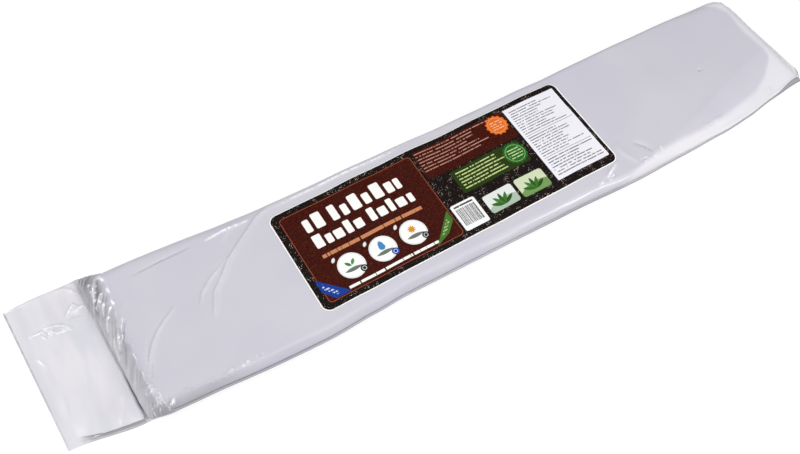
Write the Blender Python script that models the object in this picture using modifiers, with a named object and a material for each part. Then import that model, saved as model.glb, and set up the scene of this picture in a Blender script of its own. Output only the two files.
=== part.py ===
"""Compost bag: a long flat block of pressed compost, sealed in a white film sleeve with a label on it.

The sleeve is a flattened film tube. It lies tight round the block, closes in a short seam at one
end, and at the other end drops to a crease and runs on as a flat tail that is welded shut.
Metres, +Z up, +X along the bag away from its tail, origin on the floor under the middle of its box.
Each section across the bag is a ring of points, and the bag is a loft through those rings.
"""

import math

import bmesh
import bpy
import numpy as np
from mathutils import Vector
from mathutils.geometry import delaunay_2d_cdt

# The block inside and the sleeve round it
BLOCK_LENGTH = 1.000
BLOCK_THICKNESS = 0.0255
BODY_WIDTH = 0.198
BLOCK_EDGE_ROUND = 0.0075
SIDE_CREASE_HEIGHT = 0.0115
SIDE_CREASE_DEPTH = 0.0025
SHOULDER_FAR = 0.010
SHOULDER_NEAR = 0.013
UNDERSIDE_ROUND = 0.006

# The tail, which lies flat on the floor beyond the crease
TAIL_LENGTH = 0.092
TAIL_THICKNESS = 0.0016
TAIL_SEAL = 0.008
TAIL_SEAL_THICKNESS = 0.0010
SEAL_RAMP = 0.006
TAIL_SWING = 0.0255
TAIL_WIDTH = 0.204
CREASE_SWING = 0.0175
CREASE_WIDTH = 0.213
CREASE_THICKNESS = 0.0010
CREASE_TO_BLOCK = 0.0145
SIDE_RUN_IN = 0.015
POCKET_HEIGHT = 0.0055
POCKET_WIDTH = 0.026
POCKET_LENGTH = 0.030

# The seam at the other end, which stands at half height
END_SLOPE = 0.0085
END_SEAL = 0.007
END_SEAL_THICKNESS = 0.0012
END_SEAL_HEIGHT = 0.0110
END_TUCK = 0.014
END_TUCK_LENGTH = 0.110
END_CORNER_CUT = 0.016
END_DRAW_IN = 0.003

# How far the cuts and the block's ends are from square, as run along X for each metre across
TAIL_SKEW = -0.042
BLOCK_SKEW = -0.012
END_SKEW = -0.060

# The slack film on the near side, which slopes out more and more towards the seam
FACET_LENGTH = 0.320
FACET_WIDTH = 0.052

# Low waves in the film over the block
BODY_BOW = 0.007
BODY_SLACK = 0.001
WAVE_HEIGHT = 0.0009
WAVE_LENGTH = 0.210
PLEAT_HEIGHT = 0.0016
PLEAT_SPACING = 0.019

# The label
LABEL_LENGTH = 0.456
LABEL_WIDTH = 0.1565
LABEL_THICKNESS = 0.0004
LABEL_GAP = 0.0003
LABEL_CORNER = 0.012
LABEL_BORDER = 0.0016
LABEL_RIM = 0.0075
LABEL_TURN = math.radians(1.07)
LABEL_FROM_CREASE = 0.240
LABEL_OFF_CENTRE = 0.003
LABEL_GRID = 0.015

# The number of points across each part of a section
SHOULDER_STEPS = (0.10, 0.32, 0.62, 1.0)
TOP_STEPS = 23
UNDERSIDE_STEPS = (0.35, 1.0)
FLOOR_STEPS = 4

CREASE_AT = TAIL_LENGTH
BLOCK_START = CREASE_AT + CREASE_TO_BLOCK
BLOCK_END = BLOCK_START + BLOCK_LENGTH
END_SEAL_AT = BLOCK_END + END_SLOPE
SLEEVE_LENGTH = END_SEAL_AT + END_SEAL
TOP_START = BLOCK_START + BLOCK_EDGE_ROUND
TOP_END = BLOCK_END - BLOCK_EDGE_ROUND
LABEL_START = CREASE_AT + LABEL_FROM_CREASE
LABEL_END = LABEL_START + LABEL_LENGTH

# Folds pulled into the top film: the points of each, then its half width and its height. A point is
# its distance from the crease, and its place across as a share of half the body's width.
FOLDS = (
    (((0.030, -0.42), (0.050, -0.10), (0.086, 0.15)), 0.006, 0.0012),
    (((0.139, 0.14), (0.167, 0.45), (0.240, 0.95)), 0.005, 0.0014),
    (((0.122, 0.34), (0.150, 0.63), (0.196, 0.91)), 0.005, 0.0010),
    (((0.058, 0.86), (0.138, 0.87)), 0.004, -0.0008),
    (((0.161, 0.92), (0.217, 0.93)), 0.005, 0.0012),
    (((0.257, 0.95), (0.444, 0.95)), 0.005, 0.0016),
    (((0.666, -1.02), (0.669, -0.80)), 0.006, 0.0010),
    (((0.726, -0.80), (0.750, -0.93)), 0.006, 0.0010),
)
# The crinkle across the tail, and the soft folds on its near half, in the same terms
TAIL_FOLDS = (
    (((-0.079, 0.77), (-0.061, 0.80), (-0.044, 0.71), (-0.029, 0.72), (-0.014, 0.94), (0.0, 0.85)),
     0.005, 0.0022),
    (((-0.020, 0.52), (-0.023, 0.0), (-0.035, -0.36)), 0.008, 0.0012),
    (((-0.064, 0.10), (-0.052, -0.20)), 0.008, 0.0009),
)
# Where the film humps under the label's far edge: the same two places, half width and height.
HUMP = (0.450, 0.75, 0.032, 0.0022)


def smooth(t):
    """A ramp from 0 to 1 that starts and ends level."""
    t = np.clip(t, 0.0, 1.0)
    return t * t * (3.0 - 2.0 * t)


def bell(t):
    return np.exp(-t * t)


def rise(q, power):
    """A quarter of a superellipse: 0 at q = 0 and level at 1 from q = 1 on."""
    q = np.clip(q, 0.0, 1.0)
    return (1.0 - (1.0 - q) ** power) ** (1.0 / power)


def between(u, knots):
    """A smooth line through the knots, each a place along the bag and a value there."""
    value = knots[0][1]
    for (start, low), (end, high) in zip(knots, knots[1:]):
        value = value + (high - low) * smooth((u - start) / (end - start))
    return value


def middle_line(u):
    """The bag's middle: nearly straight along the block, and swung to the far side at the tail."""
    return between(u, (
        (0.0, TAIL_SWING),
        (CREASE_AT, CREASE_SWING),
        (TOP_START + SIDE_RUN_IN, BODY_BOW),
        (LABEL_START, 0.0),
        (TOP_END, 0.0),
    ))


def half_width(u):
    body = BODY_WIDTH / 2 + SIDE_CREASE_DEPTH
    return between(u, (
        (0.0, TAIL_WIDTH / 2),
        (CREASE_AT, CREASE_WIDTH / 2),
        (TOP_START + SIDE_RUN_IN, body + BODY_SLACK),
        (LABEL_START, body),
        (SLEEVE_LENGTH, body - END_DRAW_IN),
    ))


def near_edge(u):
    """The sleeve's near side crease. It is tucked in towards the seam, whose corner is cut off."""
    tuck = END_TUCK * smooth((u - END_SEAL_AT + END_TUCK_LENGTH) / END_TUCK_LENGTH)
    cut = END_CORNER_CUT * np.clip((u - END_SEAL_AT) / END_SEAL, 0.0, 1.0)
    return middle_line(u) - half_width(u) + tuck + cut


def far_edge(u):
    return middle_line(u) + half_width(u)


def skew(u):
    return between(u, (
        (CREASE_AT, TAIL_SKEW),
        (TOP_START, BLOCK_SKEW),
        (TOP_END - 2 * BLOCK_EDGE_ROUND, BLOCK_SKEW),
        (END_SEAL_AT, END_SKEW),
    ))


def edge_height(u):
    """The height of the sleeve's side creases: on the floor at the tail, half way up on the block."""
    return between(u, (
        (CREASE_AT, TAIL_THICKNESS / 3),
        (TOP_START + SIDE_RUN_IN, SIDE_CREASE_HEIGHT),
        (TOP_END, SIDE_CREASE_HEIGHT),
        (END_SEAL_AT, END_SEAL_HEIGHT),
    ))


def slope_up(u):
    """0 at the crease, 1 from the block's top edge on."""
    return rise((u - CREASE_AT) / (TOP_START - CREASE_AT), 1.5)


def slope_down(u):
    """1 up to the block's top edge, 0 from the seam on."""
    return rise((END_SEAL_AT - u) / (END_SEAL_AT - TOP_END), 1.9)


def distance_to_line(x, y, points):
    """How far each place is from a line through the points, and how far along it that is, 0 to 1."""
    lengths = [math.dist(a, b) for a, b in zip(points, points[1:])]
    nearest = np.full(np.shape(x), 1e3)
    along = np.zeros(np.shape(x))
    passed = 0.0
    for (ax, ay), (bx, by), length in zip(points, points[1:], lengths):
        t = np.clip(((x - ax) * (bx - ax) + (y - ay) * (by - ay)) / length**2, 0.0, 1.0)
        away = np.hypot(x - ax - t * (bx - ax), y - ay - t * (by - ay))
        closer = away < nearest
        nearest = np.where(closer, away, nearest)
        along = np.where(closer, (passed + t * length) / sum(lengths), along)
        passed += length
    return nearest, along


def folded(x, y, folds):
    """The height that the folds add at each place. A fold dies out at its two ends."""
    height = np.zeros(np.shape(x))
    for points, width, rise_by in folds:
        placed = [(CREASE_AT + along, share * BODY_WIDTH / 2) for along, share in points]
        away, along = distance_to_line(x, y, placed)
        fade = np.sqrt(np.clip(4 * along * (1 - along), 0.0, 1.0))
        height = height + rise_by * bell(away / width) * fade
    return height


def relief(x, y):
    """The top film's waves, folds and hump over the block, by place: added to the block's thickness."""
    phase = 2 * math.pi * (x - CREASE_AT) / WAVE_LENGTH
    tilt = 0.6 + 0.4 * y / (BODY_WIDTH / 2)
    waves = WAVE_HEIGHT * (np.sin(phase + 2.8) * tilt + 0.5 * np.cos(2.3 * phase))
    hump_along, hump_share, hump_width, hump_height = HUMP
    from_hump = np.hypot(x - CREASE_AT - hump_along, y - hump_share * BODY_WIDTH / 2)
    return waves + folded(x, y, FOLDS) + hump_height * bell(from_hump / hump_width)


def tail_crown(u, x, y, from_near):
    """The tail's top: its weld, its two flat layers, a pocket at its near side, and the crease."""
    flat = between(u, (
        (TAIL_SEAL, TAIL_SEAL_THICKNESS),
        (TAIL_SEAL + SEAL_RAMP, TAIL_THICKNESS),
        (CREASE_AT - SEAL_RAMP, TAIL_THICKNESS),
        (CREASE_AT, CREASE_THICKNESS),
    ))
    on_tail = smooth((u - TAIL_SEAL) / SEAL_RAMP) * smooth((CREASE_AT - u) / SEAL_RAMP)
    pocket_u = (u - CREASE_AT + POCKET_LENGTH) / POCKET_LENGTH
    pocket = POCKET_HEIGHT * bell(1.3 * pocket_u) * bell((from_near - POCKET_WIDTH / 2) / POCKET_WIDTH)
    return flat + (pocket + folded(x, y, TAIL_FOLDS)) * on_tail


def pleats(u, y):
    """The gathers down the slope between the block's top edge and the crease."""
    phase = 2 * math.pi * y / PLEAT_SPACING
    on_slope = bell((u - (CREASE_AT + TOP_START) / 2) / (0.4 * (TOP_START - CREASE_AT)))
    height = PLEAT_HEIGHT * (np.cos(phase) + 0.6 * np.cos(phase / 1.7 + 1.0)) * on_slope * slope_up(u)
    return np.where(u > CREASE_AT, height, 0.0)


def crown(u, x, y, from_near):
    """The top film's height away from the sides."""
    block = (BLOCK_THICKNESS + relief(x, y) - CREASE_THICKNESS) * slope_up(u) + pleats(u, y)
    whole = tail_crown(u, x, y, from_near) + block
    seam = END_SEAL_HEIGHT + END_SEAL_THICKNESS / 2
    return np.where(u > TOP_END, seam + (whole - seam) * slope_down(u), whole)


def shoulder_near(u):
    widen = smooth((u - TOP_END + FACET_LENGTH) / FACET_LENGTH)
    body = between(u, ((CREASE_AT, UNDERSIDE_ROUND), (TOP_START, SHOULDER_NEAR)))
    return body + FACET_WIDTH * widen


def shoulder_far(u):
    return between(u, ((CREASE_AT, UNDERSIDE_ROUND), (TOP_START, SHOULDER_FAR)))


def near_power(u):
    """The near shoulder's fullness: round along the block, a plain slope near the seam."""
    return between(u, ((TOP_END - FACET_LENGTH, 2.6), (TOP_END - FACET_LENGTH / 3, 1.25)))


def top_film(u, x, y):
    """The sleeve's top: the crown, brought down to the side creases over a round shoulder."""
    from_near = y - near_edge(u) - SIDE_CREASE_DEPTH
    from_far = far_edge(u) - SIDE_CREASE_DEPTH - y
    side = edge_height(u)
    near = rise(from_near / shoulder_near(u), near_power(u))
    far = rise(from_far / shoulder_far(u), 3.0)
    return side + (crown(u, x, y, from_near) - side) * near * far


def under_film(u, y):
    """The sleeve's underside: flat on the floor, and lifted to the seam at the end."""
    side = edge_height(u)
    seam = END_SEAL_HEIGHT - END_SEAL_THICKNESS / 2
    floor = np.where(u > TOP_END, seam * (1.0 - slope_down(u)), 0.0)
    near = rise((y - near_edge(u) - SIDE_CREASE_DEPTH) / UNDERSIDE_ROUND, 2.2)
    far = rise((far_edge(u) - SIDE_CREASE_DEPTH - y) / UNDERSIDE_ROUND, 2.2)
    return side + (floor - side) * near * far


def stations():
    """The places of the sections along the bag, closest where the film turns most."""
    near_crease = CREASE_AT - SEAL_RAMP
    runs = (
        (0.0, TAIL_SEAL, 2),
        (TAIL_SEAL, near_crease, 12),
        (near_crease, CREASE_AT, 3),
        (CREASE_AT, TOP_START, 8),
        (TOP_START, LABEL_START, 24),
        (LABEL_START, LABEL_END, 22),
        (LABEL_END, TOP_END - BLOCK_EDGE_ROUND, 20),
        (TOP_END - BLOCK_EDGE_ROUND, END_SEAL_AT, 8),
        (END_SEAL_AT, SLEEVE_LENGTH, 2),
    )
    places = [np.linspace(start, end, count, endpoint=False) for start, end, count in runs]
    return np.append(np.concatenate(places), SLEEVE_LENGTH)


def ring(u):
    """One section: over the top from the near crease to the far one, then back along the floor."""
    near, far = near_edge(u), far_edge(u)
    inner_near, inner_far = near + SIDE_CREASE_DEPTH, far - SIDE_CREASE_DEPTH
    step_near = [inner_near + q * shoulder_near(u) for q in SHOULDER_STEPS]
    step_far = [inner_far - q * shoulder_far(u) for q in reversed(SHOULDER_STEPS)]
    middle = np.linspace(step_near[-1], step_far[0], TOP_STEPS)[1:-1]
    over = [inner_near, *step_near, *middle, *step_far, inner_far]
    under_far = [inner_far - q * UNDERSIDE_ROUND for q in UNDERSIDE_STEPS]
    under_near = [inner_near + q * UNDERSIDE_ROUND for q in reversed(UNDERSIDE_STEPS)]
    floor = np.linspace(under_far[-1], under_near[0], FLOOR_STEPS)[1:-1]
    under = [*under_far, *floor, *under_near]
    side = float(edge_height(u))
    points = [(near, side)]
    points += [(y, float(top_film(u, u, y))) for y in over]
    points += [(far, side)]
    points += [(y, float(under_film(u, y))) for y in under]
    return [(u + float(skew(u)) * (y - float(middle_line(u))), y, z) for y, z in points]


def lofted_bag():
    """A skin of quads between neighbouring rings, closed by a cap at each end."""
    mesh = bmesh.new()
    rings = [[mesh.verts.new(point) for point in ring(u)] for u in stations()]
    for first, second in zip(rings, rings[1:]):
        for i in range(len(first)):
            j = (i + 1) % len(first)
            mesh.faces.new((first[i], first[j], second[j], second[i]))
    mesh.faces.new(rings[0])
    mesh.faces.new(reversed(rings[-1]))
    bmesh.ops.recalc_face_normals(mesh, faces=mesh.faces)
    return mesh


def arc(cx, cy, radius, start, end, steps):
    angles = [start + (end - start) * i / steps for i in range(steps + 1)]
    return [(cx + radius * math.cos(a), cy + radius * math.sin(a)) for a in angles]


def rounded(x0, y0, x1, y1, radius, steps=3):
    """A rectangle with round corners, as an outline that runs anticlockwise."""
    corners = ((x1 - radius, y0 + radius, -90), (x1 - radius, y1 - radius, 0),
               (x0 + radius, y1 - radius, 90), (x0 + radius, y0 + radius, 180))
    outline = []
    for cx, cy, start in corners:
        outline += arc(cx, cy, radius, math.radians(start), math.radians(start + 90), steps)
    return outline


def box(x0, y0, x1, y1):
    return [(x0, y0), (x1, y0), (x1, y1), (x0, y1)]


def disc(cx, cy, radius, steps=20):
    return arc(cx, cy, radius, 0.0, 2 * math.pi * (1 - 1 / steps), steps - 1)


def rosette(cx, cy, radius, lobes=11, depth=0.09):
    """A round badge with a wavy rim."""
    outline = []
    for i in range(2 * lobes):
        reach = radius * (1 + depth * (1 if i % 2 else -1))
        angle = math.pi * i / lobes
        outline.append((cx + reach * math.cos(angle), cy + reach * math.sin(angle)))
    return outline


def leaf(cx, cy, length, width, turn, steps=5):
    """A pointed oval, turned about its middle."""
    t = [i / steps for i in range(steps + 1)]
    lower = [(length * (a - 0.5), -width / 2 * math.sin(math.pi * a)) for a in t]
    upper = [(-x, -y) for x, y in lower[1:-1]]
    c, s = math.cos(turn), math.sin(turn)
    return [(cx + c * x - s * y, cy + s * x + c * y) for x, y in lower + upper]


def stepped(outline):
    """The outline with its long edges cut into short ones, so that they can follow the film."""
    points = []
    for (x0, y0), (x1, y1) in zip(outline, outline[1:] + outline[:1]):
        steps = max(1, round(math.dist((x0, y0), (x1, y1)) / LABEL_GRID))
        points += [(x0 + (x1 - x0) * i / steps, y0 + (y1 - y0) * i / steps) for i in range(steps)]
    return points


def field(x0, y0, x1, y1, radius=0.0):
    """A rectangle on the label, from shares of its length and width, with round corners if asked."""
    x0, x1 = x0 * LABEL_LENGTH, x1 * LABEL_LENGTH
    y0, y1 = y0 * LABEL_WIDTH, y1 * LABEL_WIDTH
    return rounded(x0, y0, x1, y1, radius) if radius else box(x0, y0, x1, y1)


def inset(border, radius, steps):
    return rounded(border, border, LABEL_LENGTH - border, LABEL_WIDTH - border, radius, steps)


def picture_panel(x0, x1):
    """A pale panel with three leaves that fan out from its foot."""
    fields = [("label_leaf", field(x0, 0.09, x1, 0.28, 0.004))]
    cx, cy = (x0 + x1) / 2 * LABEL_LENGTH, 0.165 * LABEL_WIDTH
    reach = 0.045 * LABEL_WIDTH
    for turn in (30, 90, 150):
        angle = math.radians(turn)
        middle = (cx + reach * math.cos(angle), cy + reach * math.sin(angle))
        fields.append(("label_green", leaf(*middle, 2 * reach, 0.8 * reach, angle)))
    return fields


def bar_code(x0, x1):
    """A white box with six upright bars of different widths."""
    fields = [("label_white", field(x0, 0.07, x1, 0.33, 0.004))]
    pitch = (x1 - x0) / 7.5
    for i, share in enumerate((0.4, 0.25, 0.6, 0.25, 0.4, 0.25)):
        left = x0 + pitch * (0.9 + i)
        fields.append(("label_black", field(left, 0.12, left + share * pitch, 0.28)))
    return fields


def printed_fields():
    """The label's print as plain fields of colour, each lying on those before it."""
    fields = [
        ("label_white", inset(0.0, LABEL_CORNER, 5)),
        ("label_black", inset(LABEL_BORDER, LABEL_CORNER - LABEL_BORDER, 5)),
        ("label_soil", inset(LABEL_RIM, LABEL_CORNER - LABEL_BORDER, 3)),
    ]
    # Bars in the place of the two heading lines, and a thin one under them
    for x0, x1, y0, y1 in ((0.075, 0.167, 0.70, 0.83), (0.189, 0.390, 0.70, 0.83),
                           (0.075, 0.268, 0.54, 0.64), (0.287, 0.395, 0.54, 0.64)):
        fields.append(("label_white", field(x0, y0, x1, y1, 0.004)))
    fields.append(("label_tan", field(0.075, 0.44, 0.395, 0.49)))
    # Three picture discs, each with a drop, a leaf or a small sun on it
    radius, cy = 0.118 * LABEL_WIDTH, 0.275 * LABEL_WIDTH
    places = [share * LABEL_LENGTH for share in (0.134, 0.235, 0.336)]
    for cx in places:
        fields.append(("label_white", disc(cx, cy, radius)))
    fields.append(("label_blue", leaf(places[0], cy, 1.1 * radius, 0.6 * radius, math.pi / 2)))
    fields.append(("label_green", leaf(places[1], cy, 1.3 * radius, 0.5 * radius, math.radians(50))))
    fields.append(("label_orange", disc(places[2], cy, 0.4 * radius, 10)))
    fields.append(("label_white", field(0.094, 0.093, 0.377, 0.118)))
    corner = ((0.022, 0.18), (0.057, 0.077), (0.096, 0.077), (0.022, 0.29))
    fields.append(("label_blue", [(x * LABEL_LENGTH, y * LABEL_WIDTH) for x, y in corner]))
    # The right half: two wavy badges, a green band, two picture panels, a bar code and a text panel
    fields.append(("label_orange", rosette(0.752 * LABEL_LENGTH, 0.835 * LABEL_WIDTH, 0.096 * LABEL_WIDTH)))
    fields.append(("label_green", field(0.496, 0.383, 0.746, 0.626, 0.004)))
    fields.append(("label_leaf", rosette(0.741 * LABEL_LENGTH, 0.505 * LABEL_WIDTH, 0.108 * LABEL_WIDTH)))
    fields += picture_panel(0.566, 0.664) + picture_panel(0.676, 0.774)
    fields += bar_code(0.467, 0.548)
    fields.append(("label_white", field(0.796, 0.09, 0.982, 0.94)))
    return fields


def on_label(s, t):
    """The bag's (x, y) of a point s along and t across the label."""
    c, n = math.cos(LABEL_TURN), math.sin(LABEL_TURN)
    along, across = s - LABEL_LENGTH / 2, t - LABEL_WIDTH / 2
    middle = (LABEL_START + LABEL_LENGTH / 2, LABEL_OFF_CENTRE)
    return middle[0] + c * along - n * across, middle[1] + n * along + c * across


def draped_label(slots):
    """The label's fields cut into one flat sheet of faces, then laid on the top film."""
    points, outlines, colours = [], [], []
    for colour, corners in printed_fields():
        outline = stepped(corners)
        outlines.append(list(range(len(points), len(points) + len(outline))))
        points += outline
        colours.append(colour)
    rows = round(LABEL_WIDTH / LABEL_GRID)
    columns = round(LABEL_LENGTH / LABEL_GRID)
    points += [(LABEL_LENGTH * (i + 0.5) / columns, LABEL_WIDTH * (j + 0.5) / rows)
               for i in range(columns) for j in range(rows)]
    flat = [Vector(point) for point in points]
    corners, _, faces, _, _, sources = delaunay_2d_cdt(flat, [], outlines, 1, 1e-7, True)
    mesh = bmesh.new()
    for corner in corners:
        x, y = on_label(*corner)
        mesh.verts.new((x, y, BLOCK_THICKNESS + float(relief(x, y)) + LABEL_GAP))
    mesh.verts.ensure_lookup_table()
    for face, under in zip(faces, sources):
        made = mesh.faces.new([mesh.verts[i] for i in face])
        made.material_index = slots.index(colours[max(under)])
    return mesh


def linear(channel):
    value = channel / 255
    return value / 12.92 if value <= 0.04045 else ((value + 0.055) / 1.055) ** 2.4


def finish(name, colour, roughness):
    material = bpy.data.materials.new(name)
    material.use_nodes = True
    shader = material.node_tree.nodes["Principled BSDF"]
    shader.inputs["Base Color"].default_value = (*[linear(c) for c in colour], 1.0)
    shader.inputs["Roughness"].default_value = roughness
    shader.inputs["Metallic"].default_value = 0.0
    return material


def add_object(name, mesh, materials, collection):
    data = bpy.data.meshes.new(name)
    mesh.to_mesh(data)
    mesh.free()
    for material in materials:
        data.materials.append(material)
    made = bpy.data.objects.new(name, data)
    collection.objects.link(made)
    return made


def stand_at_origin(parts):
    """Moves the pieces together, so that the origin is on the floor under the middle of their box."""
    points = np.array([vertex.co for part in parts for vertex in part.data.vertices])
    low, high = points.min(axis=0), points.max(axis=0)
    shift = Vector((-(low[0] + high[0]) / 2, -(low[1] + high[1]) / 2, -low[2]))
    for part in parts:
        for vertex in part.data.vertices:
            vertex.co += shift


def build():
    for old in list(bpy.data.objects):
        bpy.data.objects.remove(old)
    collection = bpy.data.collections.new("compost_bag")
    bpy.context.scene.collection.children.link(collection)

    film = finish("film", (222, 222, 226), 0.32)
    bag = add_object("sealed_bag", lofted_bag(), [film], collection)
    bag.data.shade_smooth()
    bag.data.set_sharp_from_angle(angle=math.radians(50))

    print_colours = {
        "label_white": (238, 236, 232),
        "label_black": (26, 20, 18),
        "label_soil": (62, 42, 34),
        "label_tan": (190, 130, 96),
        "label_blue": (28, 66, 150),
        "label_green": (58, 98, 44),
        "label_leaf": (150, 176, 120),
        "label_orange": (222, 118, 52),
    }
    inks = [finish(name, colour, 0.4) for name, colour in print_colours.items()]
    label = add_object("label", draped_label(list(print_colours)), inks, collection)
    solid = label.modifiers.new("thickness", "SOLIDIFY")
    solid.thickness = LABEL_THICKNESS
    solid.offset = 1.0

    stand_at_origin([bag, label])


build()
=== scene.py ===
"""Looks of the compost bag: the film sleeve with its folds and gathers, and the printed label on it.

Metres throughout but where a comment says millimetres, in the row frame: +X along the bag away from
its tail, +Y across it, +Z up. In the functions u is the place along the bag from the tail's cut end,
and q is a share of the zone beside a side crease. The sleeve repeats the sections of the solid that
it stands for and adds the finer folds, so both have one outline. The label follows the sleeve's top.
"""

import math

import bpy
import numpy as np
from mathutils import Matrix, Vector


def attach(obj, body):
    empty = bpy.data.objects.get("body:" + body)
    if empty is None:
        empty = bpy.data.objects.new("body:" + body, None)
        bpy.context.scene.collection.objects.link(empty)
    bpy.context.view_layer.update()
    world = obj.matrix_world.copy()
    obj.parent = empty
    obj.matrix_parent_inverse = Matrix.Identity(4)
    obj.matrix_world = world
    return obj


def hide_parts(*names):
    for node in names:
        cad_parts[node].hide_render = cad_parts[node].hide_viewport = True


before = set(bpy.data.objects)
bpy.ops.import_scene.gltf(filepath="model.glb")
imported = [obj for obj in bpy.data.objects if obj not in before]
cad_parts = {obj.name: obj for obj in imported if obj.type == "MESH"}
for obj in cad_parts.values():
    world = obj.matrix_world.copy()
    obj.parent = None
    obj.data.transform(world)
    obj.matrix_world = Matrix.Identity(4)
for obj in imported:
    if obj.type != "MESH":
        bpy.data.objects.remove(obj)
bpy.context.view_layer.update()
MM = 0.001


def in_metres(values):
    """The same nest of numbers, taken from millimetres to metres."""
    return tuple(in_metres(v) if isinstance(v, tuple) else v / 1000 for v in values)


# The block inside and the sleeve round it, as the solid has them
BLOCK_LENGTH = 1.0
BLOCK_THICKNESS = 0.0255
BODY_WIDTH = 0.198
BLOCK_EDGE_ROUND = 0.0075
SIDE_CREASE_HEIGHT = 0.0115
SIDE_CREASE_DEPTH = 0.0025
SHOULDER_FAR = 0.011
SHOULDER_FAR_LEFT = 0.021
SHOULDER_NEAR = 0.013
UNDERSIDE_ROUND = 0.006
UNDERSIDE_POWER = 2.2
FIN_THICKNESS = 0.0005

# The tail
TAIL_LENGTH = 0.092
TAIL_THICKNESS = 0.0016
TAIL_SEAL = 0.0025
TAIL_SEAL_THICKNESS = 0.0014
SEAL_RAMP = 0.018
TAIL_SWING = 0.0255
TAIL_WIDTH = 0.204
CREASE_SWING = 0.0175
CREASE_WIDTH = 0.213
CREASE_THICKNESS = 0.0006
CREASE_TO_BLOCK = 0.0145
SIDE_RUN_IN = 0.015
GROOVE_WIDTH = 0.003
UNDERCUT = 0.0026
CREASE_WOBBLE = 0.0002

# The tail's near side, where the top layer stands up off the bottom one
POCKET_HEIGHT = 0.006
POCKET_REACH = 0.03

# Slack at the far side beyond the solid's own outline, in millimetres: the place along and how far
# it stands out
FAR_SLACK = in_metres(((0, 0), (50, 2.8), (140, 4.2), (225, 4), (280, 2.6), (370, 0), (650, 0), (760, 2.2),
                       (890, 4.2), (985, 5.6), (1085, 4.2), (1122, -1.2)))
# The same at the near side, where it is drawn in towards the seam
NEAR_SLACK = in_metres(((100, 0), (125, 2.2), (163, 3.2), (245, 5), (325, 4.8), (390, 1.6), (433, -0.6),
                        (520, 0), (560, 0.6), (680, 1.8), (803, 5.6), (875, 4), (949, 2), (1032, -3.5),
                        (1085, 0)))
# How far the seamed end bows out along the bag, in millimetres: the place across and how far
END_BOW = in_metres(((-92, 0), (-80, 2.2), (-72, 4), (-55, 2.6), (-36, 2.8), (0, 3.5), (30, 4.2), (52, 5.8),
                     (68, 5.5), (84, 2.8), (100, 0)))

# The seam at the other end
END_SLOPE = 0.0085
END_SEAL = 0.007
END_SEAL_THICKNESS = 0.001
END_SEAL_HEIGHT = 0.011
END_TUCK = 0.014
END_TUCK_LENGTH = 0.11
END_CORNER_CUT = 0.016
END_DRAW_IN = 0.003
END_FAR_SHOULDER = 0.026
CRIMP_SPACING = 0.011
CRIMP_HEIGHT = 0.0003
BOW_RUN = 0.02
SLOPE_POWER = 1.28
END_POWER = 1.9
# The near side's pull inwards before the seam: how far, from where before the block's end, and its run
END_PULL = 0.002
END_PULL_FROM = 0.09
END_PULL_RUN = 0.06

# How far the cuts and the block's ends are from square, as run along X for each metre across
TAIL_SKEW = -0.042
BLOCK_SKEW = -0.012
END_SKEW = -0.06

# The slack film on the near side, and the low waves over the block
FACET_LENGTH = 0.32
FACET_WIDTH = 0.052
BODY_BOW = 0.007
BODY_SLACK = 0.001
WAVE_HEIGHT = 0.0009
WAVE_LENGTH = 0.21
# The film's soft waves over the block and on the tail, and the lengths in which its edges waver
SOFT_HEIGHT = 0.0006
SOFT_LENGTH = 0.055
TAIL_WAVE_HEIGHT = 0.0011
TAIL_WAVE_LENGTH = 0.045
WAVER_LENGTH = 0.0075
FINE_WAVER_LENGTH = 0.0031
# Where the film humps under the label's far edge: along, across, reach and height
HUMP = (-0.0189, 0.0613, 0.032, 0.0022)

# The label
LABEL_LENGTH = 0.456
LABEL_WIDTH = 0.1565
LABEL_THICKNESS = 0.0003
LABEL_LIFT = 0.0002
LABEL_CORNER = 0.012
LABEL_TURN = math.radians(1.07)
LABEL_FROM_CREASE = 0.24
LABEL_OFF_CENTRE = 0.003
LABEL_RIM = 0.0016

CREASE_AT = TAIL_LENGTH
BLOCK_START = CREASE_AT + CREASE_TO_BLOCK
BLOCK_END = BLOCK_START + BLOCK_LENGTH
END_SEAL_AT = BLOCK_END + END_SLOPE
SLEEVE_LENGTH = END_SEAL_AT + END_SEAL
TOP_START = BLOCK_START + BLOCK_EDGE_ROUND
TOP_END = BLOCK_END - BLOCK_EDGE_ROUND
LABEL_START = CREASE_AT + LABEL_FROM_CREASE
LABEL_END = LABEL_START + LABEL_LENGTH
# Where the far shoulder goes over from its wide form to its narrow one
WIDE_UP_TO = LABEL_START - 0.07
NARROW_FROM = LABEL_START + 0.05

# The grid of the sleeve: points in the zone beside each side crease, between those zones, and below
EDGE_ZONE = 0.014
EDGE_COLUMNS = 17
EDGE_SPACING = 1.4
MIDDLE_COLUMNS = 150
UNDER_COLUMNS = 5
SHARP_FOLD = math.radians(70)
# The grid of the label: points round a corner, between the corners, and across
LABEL_CORNER_ROWS = 12
LABEL_ROWS = 200
LABEL_COLUMNS = 72

# The tail's lip and the folded seam, by q: how far in from the crease and how high, as a share of
# the full height. The gap by the end's corner adds to the seam.
LIP_IN = ((0.0, 0.0), (0.3, 0.0012), (0.5, 0.0021), (0.6, 0.0013), (0.72, 0.0022), (1.0, EDGE_ZONE))
LIP_UP = ((0.0, 0.02), (0.3, 0.45), (0.5, 0.82), (0.6, 0.92), (0.72, 0.99), (0.85, 1.0), (1.0, 1.0))
FLAP_IN = ((0.0, 0.0), (0.08, 0.0004), (0.16, 0.0002), (0.24, -0.0004), (0.32, 0.0002), (0.4, 0.0024),
           (0.5, 0.006))
FLAP_UP = ((0.0, 0.0), (0.08, 0.04), (0.16, 0.18), (0.24, 0.38), (0.32, 0.52), (0.4, 0.76), (0.5, 0.93))
GAP_IN = ((0.0, 0.0), (0.08, 0.0058), (0.16, 0.0055), (0.24, 0.0046), (0.32, 0.0051), (0.4, 0.0052),
          (0.5, 0.001))
GAP_UP = ((0.08, 0.0), (0.2, 0.9), (0.3, 1.0), (0.5, 0.0))
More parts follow.
